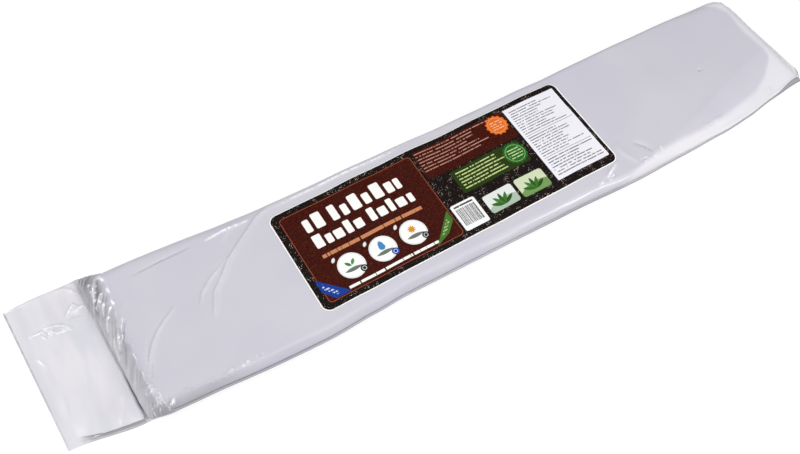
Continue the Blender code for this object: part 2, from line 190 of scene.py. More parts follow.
GAP_HEIGHT = 0.0022
FLAP_HEIGHT = 0.0125

# Shades by place across, from the near side to the far one: the undercut of the tail's crease, its painted
# shade and how wide that is, the painted shade in the seal's creases, and the slope's painted shade
CREASE_DEEP = ((-0.108, 0.0), (-0.098, 0.5), (-0.085, 1.0), (-0.045, 0.9), (-0.028, 0.5), (0.0, 0.2), (0.1, 0.1))
CREASE_PAINTED_SHADE = ((-0.106, 0.2), (-0.097, 0.8), (-0.085, 1.0), (-0.045, 1.0), (-0.028, 0.7), (0.0, 0.5), (0.11, 0.45))
CREASE_WIDE = ((-0.09, 0.0005), (-0.08, 0.0009), (-0.05, 0.0009), (-0.03, 0.0005))
SEAL_PAINTED_SHADE = ((-0.08, 0.05), (-0.05, 0.2), (-0.02, 0.1), (0.0, 0.4), (0.02, 0.15), (0.035, 0.6), (0.045, 0.5),
              (0.06, 0.15), (0.09, 0.1))
SLOPE_PAINTED_SHADE_ACROSS = ((-0.09, 0.62), (0.0, 0.74), (0.04, 1.2), (0.07, 2.0))
# Painted shade of the near side's seam: by place along its strength, its tip's and the shoulder's, and
# by q the strip below the seam and the one below the tail's lip
SEAM_PAINTED_SHADE = ((-0.46, 0.85), (-0.2, 0.7), (0.05, 0.4), (0.2, 0.22), (0.48, 0.22), (0.52, 1.0))
TIP_PAINTED_SHADE = ((-0.46, 0.42), (0.0, 0.3), (0.12, 0.85), (0.48, 0.8), (0.52, 1.0))
SHOULDER_PAINTED_SHADE = ((-0.47, 0.0), (-0.445, 0.34), (-0.385, 0.3), (-0.33, 0.0))
SEAM_STRIP = ((0.0, 0.5), (0.05, 0.6), (0.1, 1.0), (0.17, 0.95), (0.23, 0.25), (0.29, 0.0))
LIP_STRIP = ((0.0, 0.55), (0.4, 0.6), (0.5, 1.0), (0.58, 0.8), (0.66, 0.0))
# The height of a fold whose crest shows in full, and of a crumpled patch that has painted glints
FULL_CREST = 0.002
PAINTED_GLINT_DEPTH = 0.0013
# How far the grey over the block takes to fade out
BLOCK_FADE = 0.01

# Folds in the film, in the row frame and in millimetres: the points of each, how far it reaches on
# its steep and its gentle side, and its height. The steep side is on the right as the points run.
FOLDS = in_metres((
    (((-411, 71.5), (-370, 73.5), (-331, 73.5)), 0.9, 3.5, -2),
    (((-312, 72.2), (-282, 73.8), (-250, 73.8)), 1.4, 4, 1.8),
    (((-345, -30), (-330, 1), (-315, 14), (-296, 33), (-240, 72), (-205, 84)), 2.4, 6.2, 2.7),
    (((-352, -6), (-345, 6), (-329, 19), (-294, 36)), 2, 4.5, 1.8),
    (((-440, -62), (-436.5, -50), (-431, -38), (-423, -26), (-412, -14), (-398, -4), (-380, 6)), 2.2, 6, 1.6),
    (((-443, 30), (-438, 34), (-418, 47)), 3, 6, 0.9),
    (((-300, 58), (-268, 78)), 2, 6, 0.8),
    (((-212, 76), (-120, 77.5), (-25, 76.5)), 1.4, 4, 1.3),
    (((-100, 80.5), (60, 80)), 1.2, 3.5, 0.9),
    (((262, -70), (272, -83), (277, -96)), 1.6, 4.5, -1.8),
    (((236, -60), (240, -80), (248, -100)), 2.6, 7, 1.3),
    (((196.5, -100.5), (206, -94), (221.5, -86.5)), 1.6, 3, 2.4),
    (((427, -11.5), (428.8, -16.5)), 1.8, 2.4, -1.6),
))
# Folds down the slope to the crease, in the same terms
SLOPE_FOLDS = in_metres((
    (((-448, 89), (-454.5, 79), (-461, 68)), 1.8, 3, -2.4),
    (((-456, 87), (-460, 75), (-464, 64)), 1.6, 2.6, 2.2),
    (((-452, 72), (-457, 65), (-462.5, 58), (-465, 52)), 1.5, 2.6, 2.6),
    (((-453.5, 58), (-458.4, 49), (-461, 41)), 1.5, 2.6, 2.7),
    (((-448, 48), (-454, 39), (-458, 32)), 1.6, 3, 1.8),
    (((-456, 38), (-461, 28), (-464, 18)), 1.4, 2.8, 2.2),
    (((-439, 24), (-444.5, 16), (-450, 6)), 1.8, 4, 2.2),
    (((-436.5, 20.3), (-441.5, 14.1), (-445.5, 7.4), (-453.4, -8.8)), 2.2, 1.8, -1.6),
    (((-452, 12), (-455.6, 4.9), (-457, -3.9), (-460, -12)), 1.4, 2.6, 2.6),
    (((-460, 9), (-463, -1), (-465, -10)), 1.3, 2.4, 1.8),
    (((-450, 2.9), (-454.3, -15.2), (-463, -35.7)), 2, 4, -1.6),
    (((-460, -5), (-464.1, -11.8), (-465, -20)), 1.2, 2.2, 1.8),
    (((-428.1, -17.4), (-436, -38), (-441.8, -56.1)), 5, 8, 0.6),
    (((-432.9, -46.8), (-440.7, -65.2)), 2.2, 4.5, -1.1),
    (((-444, -70), (-450, -74), (-456, -78)), 1.3, 2.2, 2.4),
    (((-443, -76), (-446.7, -78.9), (-452, -83)), 1.2, 2, 2.2),
    (((-444.5, -88), (-447.8, -92.6), (-447.2, -97.1), (-451, -100)), 1.3, 2.2, 3),
    (((-440, -85), (-441.3, -95.6), (-440, -104)), 1.3, 2.2, 2),
    (((-434, -95), (-436, -104)), 1.4, 2.2, -1.8),
))
# The small creases between them: how many, and the seed of their places
CREASE_COUNT = 18
CREASE_SEED = 4
# Folds in the tail, in the same terms
TAIL_FOLDS = in_metres((
    (((-498.5, 52), (-504.5, 57.1), (-507.7, 61.8), (-519.1, 66.3), (-527.2, 68), (-534.5, 67.7)),
     1.1, 1.9, 3.4),
    (((-498.5, 50.5), (-508.6, 53.6), (-518.2, 54.9), (-520.5, 57.9), (-528.5, 55.8), (-532.5, 65),
     (-539.2, 65.7), (-548, 65.4)), 1.1, 1.8, 3.6),
    (((-473.5, 69.2), (-476.5, 74.3), (-481.5, 74.2), (-486.1, 79.8), (-487.2, 82.4), (-493.7, 77.1),
     (-502, 69)), 1.1, 1.9, 3.6),
    (((-481.2, 74), (-488.1, 71.2), (-494.5, 69)), 1.2, 2, 2.6),
    (((-480.9, 62.7), (-490.6, 64.9), (-499.4, 66.2)), 2, 4, -1),
    (((-474.8, 92), (-479.4, 97.6), (-482.2, 103.4), (-489.9, 109.8), (-499, 110.3)), 1.2, 3, 1.7),
    (((-483.6, 40), (-486, 20), (-492.2, -0.6), (-497.5, -31), (-504, -50)), 6, 12, 1.3),
    (((-496, 38), (-503, 10), (-507, -20), (-520, -64)), 6, 11, 1),
    (((-540, 16.5), (-547.3, 32.6), (-556, 38.1)), 1.3, 4, 1.1),
    (((-478, -60), (-486, -80), (-500, -94)), 3, 8, 1),
    (((-530, 10), (-538, -30), (-545, -60)), 7, 11, 0.7),
))
# Patches of crumpled film, in millimetres: the middle, the reach along and across, the height and
# the facets' size
CRUMPLES = in_metres((
    (-457, 84, 6, 9, 1.8, 7), (-459, 60, 6, 12, 1.8, 7),
    (-449, -77, 6, 6, 1.6, 5), (-449, -96, 8, 8, 2.6, 6),
    (-432, -103, 10, 5, 1.4, 6), (-412, -96, 4, 2, 1.4, 4),
    (-406, -99, 3, 2, 1.2, 4), (-370, -104, 20, 4, 1, 6),
    (-357, -99, 5, 3, 1.8, 4), (-339, -102, 6, 3, 2.4, 5),
    (-320, -102, 5, 3, 2.2, 5), (190, -104, 10, 4, 1.4, 6),
    (206, -99, 5, 8, 3.4, 7), (258, -101, 6, 4, 2.4, 5),
    (270, -101, 6, 4, 2.4, 5), (289, -97, 6, 5, 1.4, 6),
    (392, -95, 20, 6, 1.2, 7), (500, -88, 10, 6, 1.2, 6),
    (-522, 61, 14, 4, 1, 6), (-489, 74, 7, 6, 1.4, 6),
))
# Where the block's near edge runs under the slack film, in millimetres: along and across
FACET_LINE = in_metres(((180, -125), (282, -98), (361, -98.5), (401, -94.5), (444.5, -88), (482, -81),
                        (508, -68), (530, -50), (548, -30)))

# Where the block's end shows through the film, in millimetres: across and along
BLOCK_END_LINE = in_metres(((-43, 538), (-14, 537), (9, 534.5), (26, 535.5), (42, 538.5), (54, 538),
                            (70, 530), (100, 490)))

# The camera: its place, its turn in degrees as yaw, then tilt from straight down, then roll, and its
# lens for a sensor of that width, both in millimetres
CAMERA_PLACE = (-0.4373, -0.5431, 1.0601)
CAMERA_TURN = (-34.393, 30.996, 4.41)
LENS = 42.33
SENSOR = 36.0


def smooth(t):
    """A ramp from 0 to 1 that starts and ends level."""
    t = np.clip(t, 0.0, 1.0)
    return t * t * (3.0 - 2.0 * t)


def bell(t):
    """1 at t = 0, falling off to both sides as exp of minus t squared."""
    return np.exp(-t * t)


def rise(q, power):
    """A quarter of a superellipse: 0 at q = 0 and level at 1 from q = 1 on."""
    q = np.clip(q, 0.0, 1.0)
    return (1.0 - (1.0 - q) ** power) ** (1.0 / power)


def between(u, knots):
    """A smooth line through the knots, level at each of them."""
    value = knots[0][1] + 0.0 * u
    for (start, low), (end, high) in zip(knots, knots[1:]):
        value = value + (high - low) * smooth((u - start) / (end - start))
    return value


def through(x, knots):
    """A line of straight runs through the knots, each a place and a value there."""
    places, values = zip(*knots)
    return np.interp(x, places, values)


def middle_line(u):
    """The bag's middle: nearly straight along the block, and swung to the far side at the tail."""
    return between(u, (
        (0.0, TAIL_SWING),
        (CREASE_AT, CREASE_SWING),
        (TOP_START + SIDE_RUN_IN, BODY_BOW),
        (LABEL_START, 0.0),
        (TOP_END, 0.0),
    ))


def half_width(u):
    """Half the flattened tube's width at each place along the bag, smooth between knots."""
    body = BODY_WIDTH / 2 + SIDE_CREASE_DEPTH
    return between(u, (
        (0.0, TAIL_WIDTH / 2),
        (CREASE_AT, CREASE_WIDTH / 2),
        (TOP_START + SIDE_RUN_IN, body + BODY_SLACK),
        (LABEL_START, body),
        (SLEEVE_LENGTH, body - END_DRAW_IN),
    ))


def near_edge(u):
    """The near side crease: half a width from the middle line, with the film's slack. It is tucked in
    towards the seam, whose corner is cut off."""
    tuck = END_TUCK * smooth((u - END_SEAL_AT + END_TUCK_LENGTH) / END_TUCK_LENGTH)
    cut = END_CORNER_CUT * np.clip((u - END_SEAL_AT) / END_SEAL, 0.0, 1.0)
    pull = END_PULL * smooth((u - TOP_END + END_PULL_FROM) / END_PULL_RUN)
    return middle_line(u) - half_width(u) + tuck + cut + pull - between(u, NEAR_SLACK)


def far_edge(u):
    """The far side crease: half a width from the middle line, and the film's slack more."""
    return middle_line(u) + half_width(u) + between(u, FAR_SLACK)


def skew(u):
    """How far the section at each place is turned, as run along the bag for each metre across."""
    return between(u, (
        (CREASE_AT, TAIL_SKEW),
        (TOP_START, BLOCK_SKEW),
        (TOP_END - 2 * BLOCK_EDGE_ROUND, BLOCK_SKEW),
        (END_SEAL_AT, END_SKEW),
    ))


def along_bag(u, y):
    """The place along X of a point at y in the section at u, which is turned about the middle line."""
    return u + skew(u) * (y - middle_line(u))


def edge_height(u):
    """The height of the side creases: on the floor at the tail, half way up on the block."""
    return between(u, (
        (CREASE_AT, TAIL_THICKNESS / 3),
        (TOP_START + SIDE_RUN_IN, SIDE_CREASE_HEIGHT),
        (TOP_END, SIDE_CREASE_HEIGHT),
        (END_SEAL_AT, END_SEAL_HEIGHT),
    ))


def slope_up(u, y):
    """0 at the crease, 1 from the block's top edge on, which wanders in and out across the bag and
    runs back towards the far side, where the film bridges further."""
    wander = 0.11 * np.sin(y / WAVER_LENGTH + 2.6 * np.sin(y / 0.017)) + 0.04 * np.sin(y / FINE_WAVER_LENGTH)
    reach = (TOP_START - CREASE_AT) * (1.0 + 0.35 * smooth((y - 0.01) / 0.07) + wander)
    return rise((u - CREASE_AT) / reach, SLOPE_POWER)


def slope_down(u):
    """1 up to the block's top edge, 0 from the seam on."""
    return rise((END_SEAL_AT - u) / (END_SEAL_AT - TOP_END), END_POWER)


def shoulder_near(u):
    """How far in from the near crease the top film reaches its full height."""
    widen = smooth((u - TOP_END + FACET_LENGTH) / FACET_LENGTH)
    body = between(u, ((CREASE_AT, UNDERSIDE_ROUND), (TOP_START, SHOULDER_NEAR)))
    return body + FACET_WIDTH * widen


def shoulder_far(u):
    """The same at the far side, wider towards the seam where the block's corner is rounded."""
    return between(u, (
        (0.0, UNDERSIDE_ROUND),
        (CREASE_AT, 0.8 * SHOULDER_FAR_LEFT),
        (TOP_START, SHOULDER_FAR_LEFT),
        (WIDE_UP_TO, 0.8 * SHOULDER_FAR_LEFT),
        (NARROW_FROM, SHOULDER_FAR),
        (TOP_END - 0.09, SHOULDER_FAR),
        (TOP_END, END_FAR_SHOULDER),
    ))


def near_power(u):
    """The near shoulder's fullness: round along the block, a plain slope near the seam."""
    return between(u, ((TOP_END - FACET_LENGTH, 2.6), (TOP_END - FACET_LENGTH / 3, 1.25)))


def sleeve_centre():
    """The middle of the box round the solid's outline, without the film's slack. The row frame has
    its origin there."""
    u = np.linspace(0.0, SLEEVE_LENGTH, 2000)
    edges = np.array([near_edge(u) + between(u, NEAR_SLACK), middle_line(u) + half_width(u)])
    along = along_bag(u, edges)
    return (along.min() + along.max()) / 2, (edges.min() + edges.max()) / 2


CENTRE_ALONG, CENTRE_ACROSS = sleeve_centre()


def distance_to_line(x, y, points):
    """The distance of each place from a line through the points, positive on its left, and how far
    along the line the nearest point is, from 0 to 1."""
    lengths = [math.dist(a, b) for a, b in zip(points, points[1:])]
    nearest = np.full(np.shape(x), 1e3)
    along = np.zeros(np.shape(x))
    passed = 0.0
    for (ax, ay), (bx, by), length in zip(points, points[1:], lengths):
        dx, dy = (bx - ax) / length, (by - ay) / length
        t = np.clip((x - ax) * dx + (y - ay) * dy, 0.0, length)
        away = np.hypot(x - ax - t * dx, y - ay - t * dy)
        left = np.where(dx * (y - ay) - dy * (x - ax) >= 0, 1.0, -1.0)
        closer = away < np.abs(nearest)
        nearest = np.where(closer, away * left, nearest)
        along = np.where(closer, (passed + t) / sum(lengths), along)
        passed += length
    return nearest, along


def fading(along):
    """1 half way along a line and 0 at its two ends, as the height of a half circle."""
    return np.sqrt(np.clip(4 * along * (1 - along), 0.0, 1.0))


def folded(x, y, folds):
    """The height that the folds add: each falls off from its crest as exp of minus the distance over
    its reach to the power 1.2, with one reach on either side, and dies out at its two ends."""
    height = np.zeros(np.shape(x))
    for points, steep, gentle, crest in folds:
        away, along = distance_to_line(x, y, points)
        reach = np.where(away < 0, steep, gentle)
        height = height + crest * np.exp(-np.abs(away / reach) ** 1.2) * fading(along)
    return height


def crest_lines(x, y, folds, width, side, shift=0.0):
    """How near each place is to the sharp crest of a fold, or to a line beside it on its left, from
    0 to 1, for the folds that rise when side is 1 and for those that sink when it is -1. A full
    crest is FULL_CREST high."""
    share = np.zeros(np.shape(x))
    for points, _, _, crest in folds:
        if crest * side > 0:
            away, along = distance_to_line(x, y, points)
            near = bell((away - shift) / width) * fading(along)
            share = np.maximum(share, near * min(abs(crest) / FULL_CREST, 1.0))
    return share


def facets(x, y, size, seed):
    """Flat facets with sharp edges, as in crushed film: the mean of triangle waves that run in seven
    directions, each a little bent, from -0.5 to 0.5."""
    rng = np.random.default_rng(seed)
    height = 0.0
    for angle in np.arange(7) * math.pi / 7:
        turn = angle + rng.uniform(-0.2, 0.2)
        length = size * rng.uniform(0.8, 2.2)
        bend = 0.3 * np.sin((y * math.cos(turn) - x * math.sin(turn)) / length * 2.1 + rng.uniform(0, 6))
        t = (x * math.cos(turn) + y * math.sin(turn)) / length + bend + rng.uniform(0, 1)
        height = height + np.abs(2.0 * (t - np.floor(t + 0.5)))
    return height / 7 - 0.5


def patch_share(x, y, cx, cy, reach_x, reach_y):
    """1 in the middle of a patch, falling off each way as exp of minus the fourth power."""
    return bell(((x - cx) / reach_x) ** 2) * bell(((y - cy) / reach_y) ** 2)


def crumpled(x, y):
    """The height that the crumpled patches add, and how crumpled each place is, from 0 to 1."""
    height = np.zeros(np.shape(x))
    amount = np.zeros(np.shape(x))
    for i, (*place, depth, size) in enumerate(CRUMPLES):
        patch = patch_share(x, y, *place)
        height = height + depth * facets(x, y, size, i) * patch
        amount = np.maximum(amount, patch)
    return height, amount


def painted_glints(x, y):
    """Painted glints on small facets in the crumpled patches, from 0 to 1: where their triangle waves are high."""
    bright = np.zeros(np.shape(x))
    for i, (*place, depth, size) in enumerate(CRUMPLES):
        if depth >= PAINTED_GLINT_DEPTH:
            patch = patch_share(x, y, *place)
            facet = smooth((facets(x, y, 0.8 * size, i + 40) - 0.06) / 0.08)
            bright = np.maximum(bright, smooth((patch - 0.35) / 0.3) * facet)
    return bright


def soft_waves(x, y, length, seed):
    """Low irregular waves: the mean of sines in eight directions, from about -0.5 to 0.5."""
    rng = np.random.default_rng(seed)
    height = 0.0
    for _ in range(8):
        turn, phase = rng.uniform(0, math.pi), rng.uniform(0, 2 * math.pi)
        stretch = length * rng.uniform(0.7, 1.8)
        height = height + np.sin((x * math.cos(turn) + y * math.sin(turn)) / stretch * 2 * math.pi + phase)
    return height / 8


def relief(x, y):
    """The top film's height over the block's own, by place in the row frame: long waves along the
    bag, the hump at the label, soft waves, folds and crumples."""
    phase = 2 * math.pi * (x + CENTRE_ALONG - CREASE_AT) / WAVE_LENGTH
    tilt = 0.6 + 0.4 * (y + CENTRE_ACROSS) / (BODY_WIDTH / 2)
    waves = WAVE_HEIGHT * (np.sin(phase + 2.8) * tilt + 0.5 * np.cos(2.3 * phase))
    hump_x, hump_y, hump_reach, hump_height = HUMP
    hump = hump_height * bell(np.hypot(x - hump_x, y - hump_y) / hump_reach)
    return waves + hump + SOFT_HEIGHT * soft_waves(x, y, SOFT_LENGTH, 3) + folded(x, y, FOLDS)


def over_block(x, y):
    """1 where the film lies on the block, 0 where it is slack or runs free."""
    inside = smooth((y - through(x, FACET_LINE)) / BLOCK_FADE + 0.5)
    left = smooth((x - (TOP_START - CENTRE_ALONG) + 0.012) / BLOCK_FADE)
    right = smooth((through(y, BLOCK_END_LINE) - x) / BLOCK_FADE + 0.5)
    return inside * left * right


def pocket(u, from_near):
    """How far the tail's top layer stands off the bottom one: most near the crease and the edge."""
    along = between(u, (
        (CREASE_AT - 0.08, 0.0),
        (CREASE_AT - 0.058, 0.35),
        (CREASE_AT - 0.036, 0.75),
        (CREASE_AT - 0.016, 1.0),
        (CREASE_AT - 0.006, 0.75),
        (CREASE_AT, 0.0),
    ))
    return POCKET_HEIGHT * along * bell(np.clip(from_near - 0.004, 0.0, 1.0) / POCKET_REACH), along


def tail_crown(u, x, y, from_near):
    """The tail's top: the weld's thin strip, a ramp to two flat layers, and over them the pocket, soft
    waves, folds and crumples, all gone at the weld and in the crease's groove."""
    flat = between(u, (
        (TAIL_SEAL, TAIL_SEAL_THICKNESS),
        (TAIL_SEAL + SEAL_RAMP, TAIL_THICKNESS),
        (CREASE_AT - GROOVE_WIDTH, TAIL_THICKNESS),
        (CREASE_AT, CREASE_THICKNESS),
    ))
    on_tail = smooth((u - TAIL_SEAL) / SEAL_RAMP) * smooth((CREASE_AT - u) / GROOVE_WIDTH)
    lifted = pocket(u, from_near)[0] + TAIL_WAVE_HEIGHT * (0.5 + soft_waves(x, y, TAIL_WAVE_LENGTH, 11))
    crushed, _ = crumpled(x, y)
    return flat + (lifted + folded(x, y, TAIL_FOLDS) + crushed) * on_tail


def small_creases():
    """Small creases down the slope, in the terms of the listed folds: they run from uneven places on
    the crease up to the block's edge, each leaning to the far side."""
    rng = np.random.default_rng(CREASE_SEED)
    small = []
    for place in np.linspace(-0.095, 0.085, CREASE_COUNT):
        foot = place + rng.uniform(-0.003, 0.003)
        reach_x, lean = rng.uniform(0.007, 0.019), rng.uniform(1.1, 2.3)
        foot_x = CREASE_AT - CENTRE_ALONG + TAIL_SKEW * foot + rng.uniform(0.0005, 0.003)
        bend = rng.uniform(-0.0012, 0.0012)
        points = ((foot_x + reach_x, foot + lean * reach_x),
                  (foot_x + reach_x / 2 + bend, foot + lean * reach_x / 2), (foot_x, foot))
        steep, gentle = rng.uniform(0.001, 0.002), rng.uniform(0.002, 0.0044)
        small.append((points, steep, gentle, rng.uniform(-0.001, 0.002)))
    return tuple(small)


def crown(u, x, y, from_near, ruffles):
    """The top film's height away from the sides: the block's, with its relief, crumples and creases,
    grown up the slope and added to the tail's. Past the block it comes down to the seam, which a
    sine across the bag crimps."""
    crushed, _ = crumpled(x, y)
    from_far = far_edge(u) - CENTRE_ACROSS - y
    calm = smooth((from_far - 0.004) / 0.03)
    block = (BLOCK_THICKNESS - CREASE_THICKNESS + relief(x, y) + (crushed + ruffles) * calm) * slope_up(u, y)
    whole = tail_crown(u, x, y, from_near) + block
    seam = END_SEAL_HEIGHT + END_SEAL_THICKNESS / 2
    at_seam = smooth((u - TOP_END) / (END_SEAL_AT - TOP_END))
    crimps = CRIMP_HEIGHT * np.sin(2 * math.pi * (y + 0.6 * u) / CRIMP_SPACING + 2 * np.sin(y / 0.023))
    return np.where(u > TOP_END, seam + (whole - seam) * slope_down(u), whole) + crimps * at_seam


def places_across(u):
    """The places of the top's points across each section: close together in the zone beside each
    side crease, evenly spread between."""
    near = near_edge(u) + SIDE_CREASE_DEPTH
    far = far_edge(u) - SIDE_CREASE_DEPTH
    q = np.linspace(0.0, 1.0, EDGE_COLUMNS) ** EDGE_SPACING
    near_part = near + EDGE_ZONE * q
    far_part = far - EDGE_ZONE * q[::-1]
    t = np.linspace(0.0, 1.0, MIDDLE_COLUMNS + 2)[1:-1]
    middle = near_part[:, -1:] + (far_part[:, :1] - near_part[:, -1:]) * t
    return np.concatenate([near_part, middle, far_part], axis=1)


def seam_share(u):
    """How far the near side has its folded seam, from 0 to 1, and how much of the gap by the end's
    corner each place has."""
    body = smooth((u - BLOCK_START) / 0.03)
    corner = smooth((u - (END_SEAL_AT - 0.05)) / 0.045)
    return body, corner


def top_surface(u):
    """The top of each section: the crown brought down to the side creases over a round shoulder.
    Beside the pocket the section is a lip that hangs over the bottom layer, and beside the block it
    is the seam folded against the shoulder, both from knots in q. Past the tail's crease the film
    bulges back over the groove."""
    y = places_across(u)
    x = along_bag(u, y)
    from_near = y - near_edge(u) - SIDE_CREASE_DEPTH
    from_far = far_edge(u) - SIDE_CREASE_DEPTH - y
    side = edge_height(u) + FIN_THICKNESS
    near = rise(from_near / shoulder_near(u), near_power(u))
    far = rise(from_far / shoulder_far(u), between(u, ((WIDE_UP_TO, 2.1), (NARROW_FROM, 3.0))))
    ruffles = folded(x - CENTRE_ALONG, y - CENTRE_ACROSS, SLOPE_FOLDS + small_creases())
    height = crown(u, x - CENTRE_ALONG, y - CENTRE_ACROSS, from_near, ruffles)
    z = side + (height - side) * near * far

    q = np.clip(from_near / EDGE_ZONE, 0.0, 1.0)
    lip = np.clip(2.0 * pocket(u, 0.0)[1], 0.0, 1.0) * (q < 1.0)
    full = height + pocket(u, 0.0 * y)[0] - pocket(u, from_near)[0]
    wall_y = y + lip * (through(q, LIP_IN) - from_near)
    wall_z = z + lip * (side + (full - side) * through(q, LIP_UP) - z) * (1 - smooth((q - 0.85) / 0.15))

    body, corner = seam_share(u)
    flap_y = through(q, FLAP_IN) + corner * through(q, GAP_IN)
    crest = FLAP_HEIGHT * rise(0.007 / shoulder_near(u), near_power(u))
    flap_z = through(q, FLAP_UP) * crest + GAP_HEIGHT * corner * through(q, GAP_UP)
    flap_z = flap_z * smooth((SLEEVE_LENGTH - u) / 0.014)
    share = body * (1 - smooth((q - 0.4) / 0.1))
    y = wall_y + share * (flap_y - from_near)
    z = wall_z + share * (side + flap_z - wall_z)

    deep = through(y - CENTRE_ACROSS, CREASE_DEEP)
    x = x - UNDERCUT * deep * bell((u - CREASE_AT - 0.0036) / 0.0024) * np.clip(near * far, 0, 1)
    wobble = np.sin(y / WAVER_LENGTH + 2.0 * np.sin(y / 0.019)) + 0.6 * np.sin(y / FINE_WAVER_LENGTH)
    x = x - 0.9 * ruffles * bell((u - CREASE_AT - 0.007) / 0.006) * near * far
    x = x + CREASE_WOBBLE * wobble * bell((u - CREASE_AT) / 0.01) * near * far
    return x, y, z


def under_surface(u):
    """The underside of each section, from the far crease to the near one: flat on the floor, and
    lifted to the seam at the end."""
    near = near_edge(u) + SIDE_CREASE_DEPTH
    far = far_edge(u) - SIDE_CREASE_DEPTH
    q = np.array([0.0, 0.2, 0.5, 1.0])
    t = np.linspace(0.0, 1.0, UNDER_COLUMNS)[1:-1]
    inner_far, inner_near = far - UNDERSIDE_ROUND, near + UNDERSIDE_ROUND
    y = np.concatenate([far - UNDERSIDE_ROUND * q, inner_far + (inner_near - inner_far) * t,
                        near + UNDERSIDE_ROUND * q[::-1]], axis=1)
    x = along_bag(u, y)
    side = edge_height(u) - np.minimum(FIN_THICKNESS, edge_height(u) / 2)
    seam = END_SEAL_HEIGHT - END_SEAL_THICKNESS / 2
    floor = np.where(u > TOP_END, seam * (1.0 - slope_down(u)), 0.0)
    bend = rise((y - near) / UNDERSIDE_ROUND, UNDERSIDE_POWER) * rise((far - y) / UNDERSIDE_ROUND, UNDERSIDE_POWER)
    return x, y, side + (floor - side) * bend


def stations():
    """The places of the sections along the bag, closest where the film turns most."""
    runs = (
        (0.0, TAIL_SEAL, 4),
        (TAIL_SEAL, CREASE_AT - 0.006, 82),
        (CREASE_AT - 0.006, CREASE_AT + 0.01, 34),
        (CREASE_AT + 0.01, TOP_START + 0.006, 28),
        (TOP_START + 0.006, LABEL_START, 106),
        (LABEL_START, LABEL_END - 0.03, 60),
        (LABEL_END - 0.03, TOP_END - BLOCK_EDGE_ROUND, 130),
        (TOP_END - BLOCK_EDGE_ROUND, SLEEVE_LENGTH, 34),
    )
    places = [np.linspace(start, end, count, endpoint=False) for start, end, count in runs]
    return np.append(np.concatenate(places), SLEEVE_LENGTH)[:, None]


def slope_share(u):
    """1 half way down the slope, falling off to both sides."""
    return bell((u - (CREASE_AT + TOP_START) / 2) / 0.011)


def slope_painted_shade(u, x, y):
    """Painted shade on the slope: sines across its folds, darker in its low places and at its far end."""
    across = (1.7 * x - y) / 1.97
    streaks = np.sin(across / 0.0011 + 1.7 * np.sin(across / 0.0029) + 2.0 * np.sin((x + y) / 0.017))
    streaks = streaks * (0.6 + 0.6 * np.sin(y / 0.0085 + 1.0))
    low = np.clip(-folded(x, y, SLOPE_FOLDS + small_creases()) / FULL_CREST, -1.0, 1.0)
    return slope_share(u) * through(y, SLOPE_PAINTED_SHADE_ACROSS) * np.clip(0.62 + 0.26 * streaks + 0.34 * low, 0.0, 1.5)


def greatest(*shares):
    """The greatest of the shares at each place."""
    made = shares[0]
    for share in shares[1:]:
        made = np.maximum(made, share)
    return made


def painted_highlight_lines(u, x, y):
    """Painted highlights, as glints: sharp crests, bright facets, the far corner and the seal's first line."""
    return greatest(
        crest_lines(x, y, SLOPE_FOLDS, 0.0007, 1),
        1.2 * crest_lines(x, y, TAIL_FOLDS[:5], 0.0016, 1),
        1.5 * crest_lines(x, y, (FOLDS[1], FOLDS[7], FOLDS[11]), 0.0014, 1),
        0.25 * crest_lines(x, y, FOLDS, 0.001, 1),
        painted_glints(x, y),
        0.6 * bell((x - 0.556) / 0.012) * bell((y - 0.084) / 0.014),
        0.9 * bell((u - END_SEAL_AT - 0.0016) / 0.0012))


def painted_shade_lines(u, x, y):
    """Painted shade: dark lines in sunk folds, beside some raised ones, in the tail's crease, and
    marks in the seal's creases."""
    crease = bell((u - CREASE_AT - 0.0002) / through(y, CREASE_WIDE)) * through(y, CREASE_PAINTED_SHADE)
    seal = bell((u - END_SEAL_AT + 0.003) / 0.0016) * np.minimum(1.5 * through(y, SEAL_PAINTED_SHADE), 1.0)
    return greatest(
        0.3 * crest_lines(x, y, FOLDS + SLOPE_FOLDS + TAIL_FOLDS, 0.001, -1),
        0.2 * crest_lines(x, y, FOLDS[2:4], 0.0013, 1, 0.0024),
        0.24 * crest_lines(x, y, FOLDS[4:5], 0.0013, 1, 0.002),
        0.16 * crest_lines(x, y, TAIL_FOLDS[:6], 0.0012, 1, -0.0022),
        crease + seal)


def grid_mesh(name, points, closed):
    """A mesh on a grid of points, with a face between each four neighbours. A closed grid goes on
    from its last column to its first, and has a face over each end."""
    index = np.arange(points[0].size).reshape(points[0].shape)
    beside = np.roll(index, -1, axis=1)
    quads = np.stack([index[:-1], index[1:], beside[1:], beside[:-1]], axis=-1)
    faces = (quads if closed else quads[:, :-1]).reshape(-1, 4).tolist()
    if closed:
        faces += [index[0].tolist(), index[-1, ::-1].tolist()]
    mesh = bpy.data.meshes.new(name)
    mesh.from_pydata(np.stack(points, axis=-1).reshape(-1, 3).tolist(), [], faces)
    mesh.shade_smooth()
    return mesh


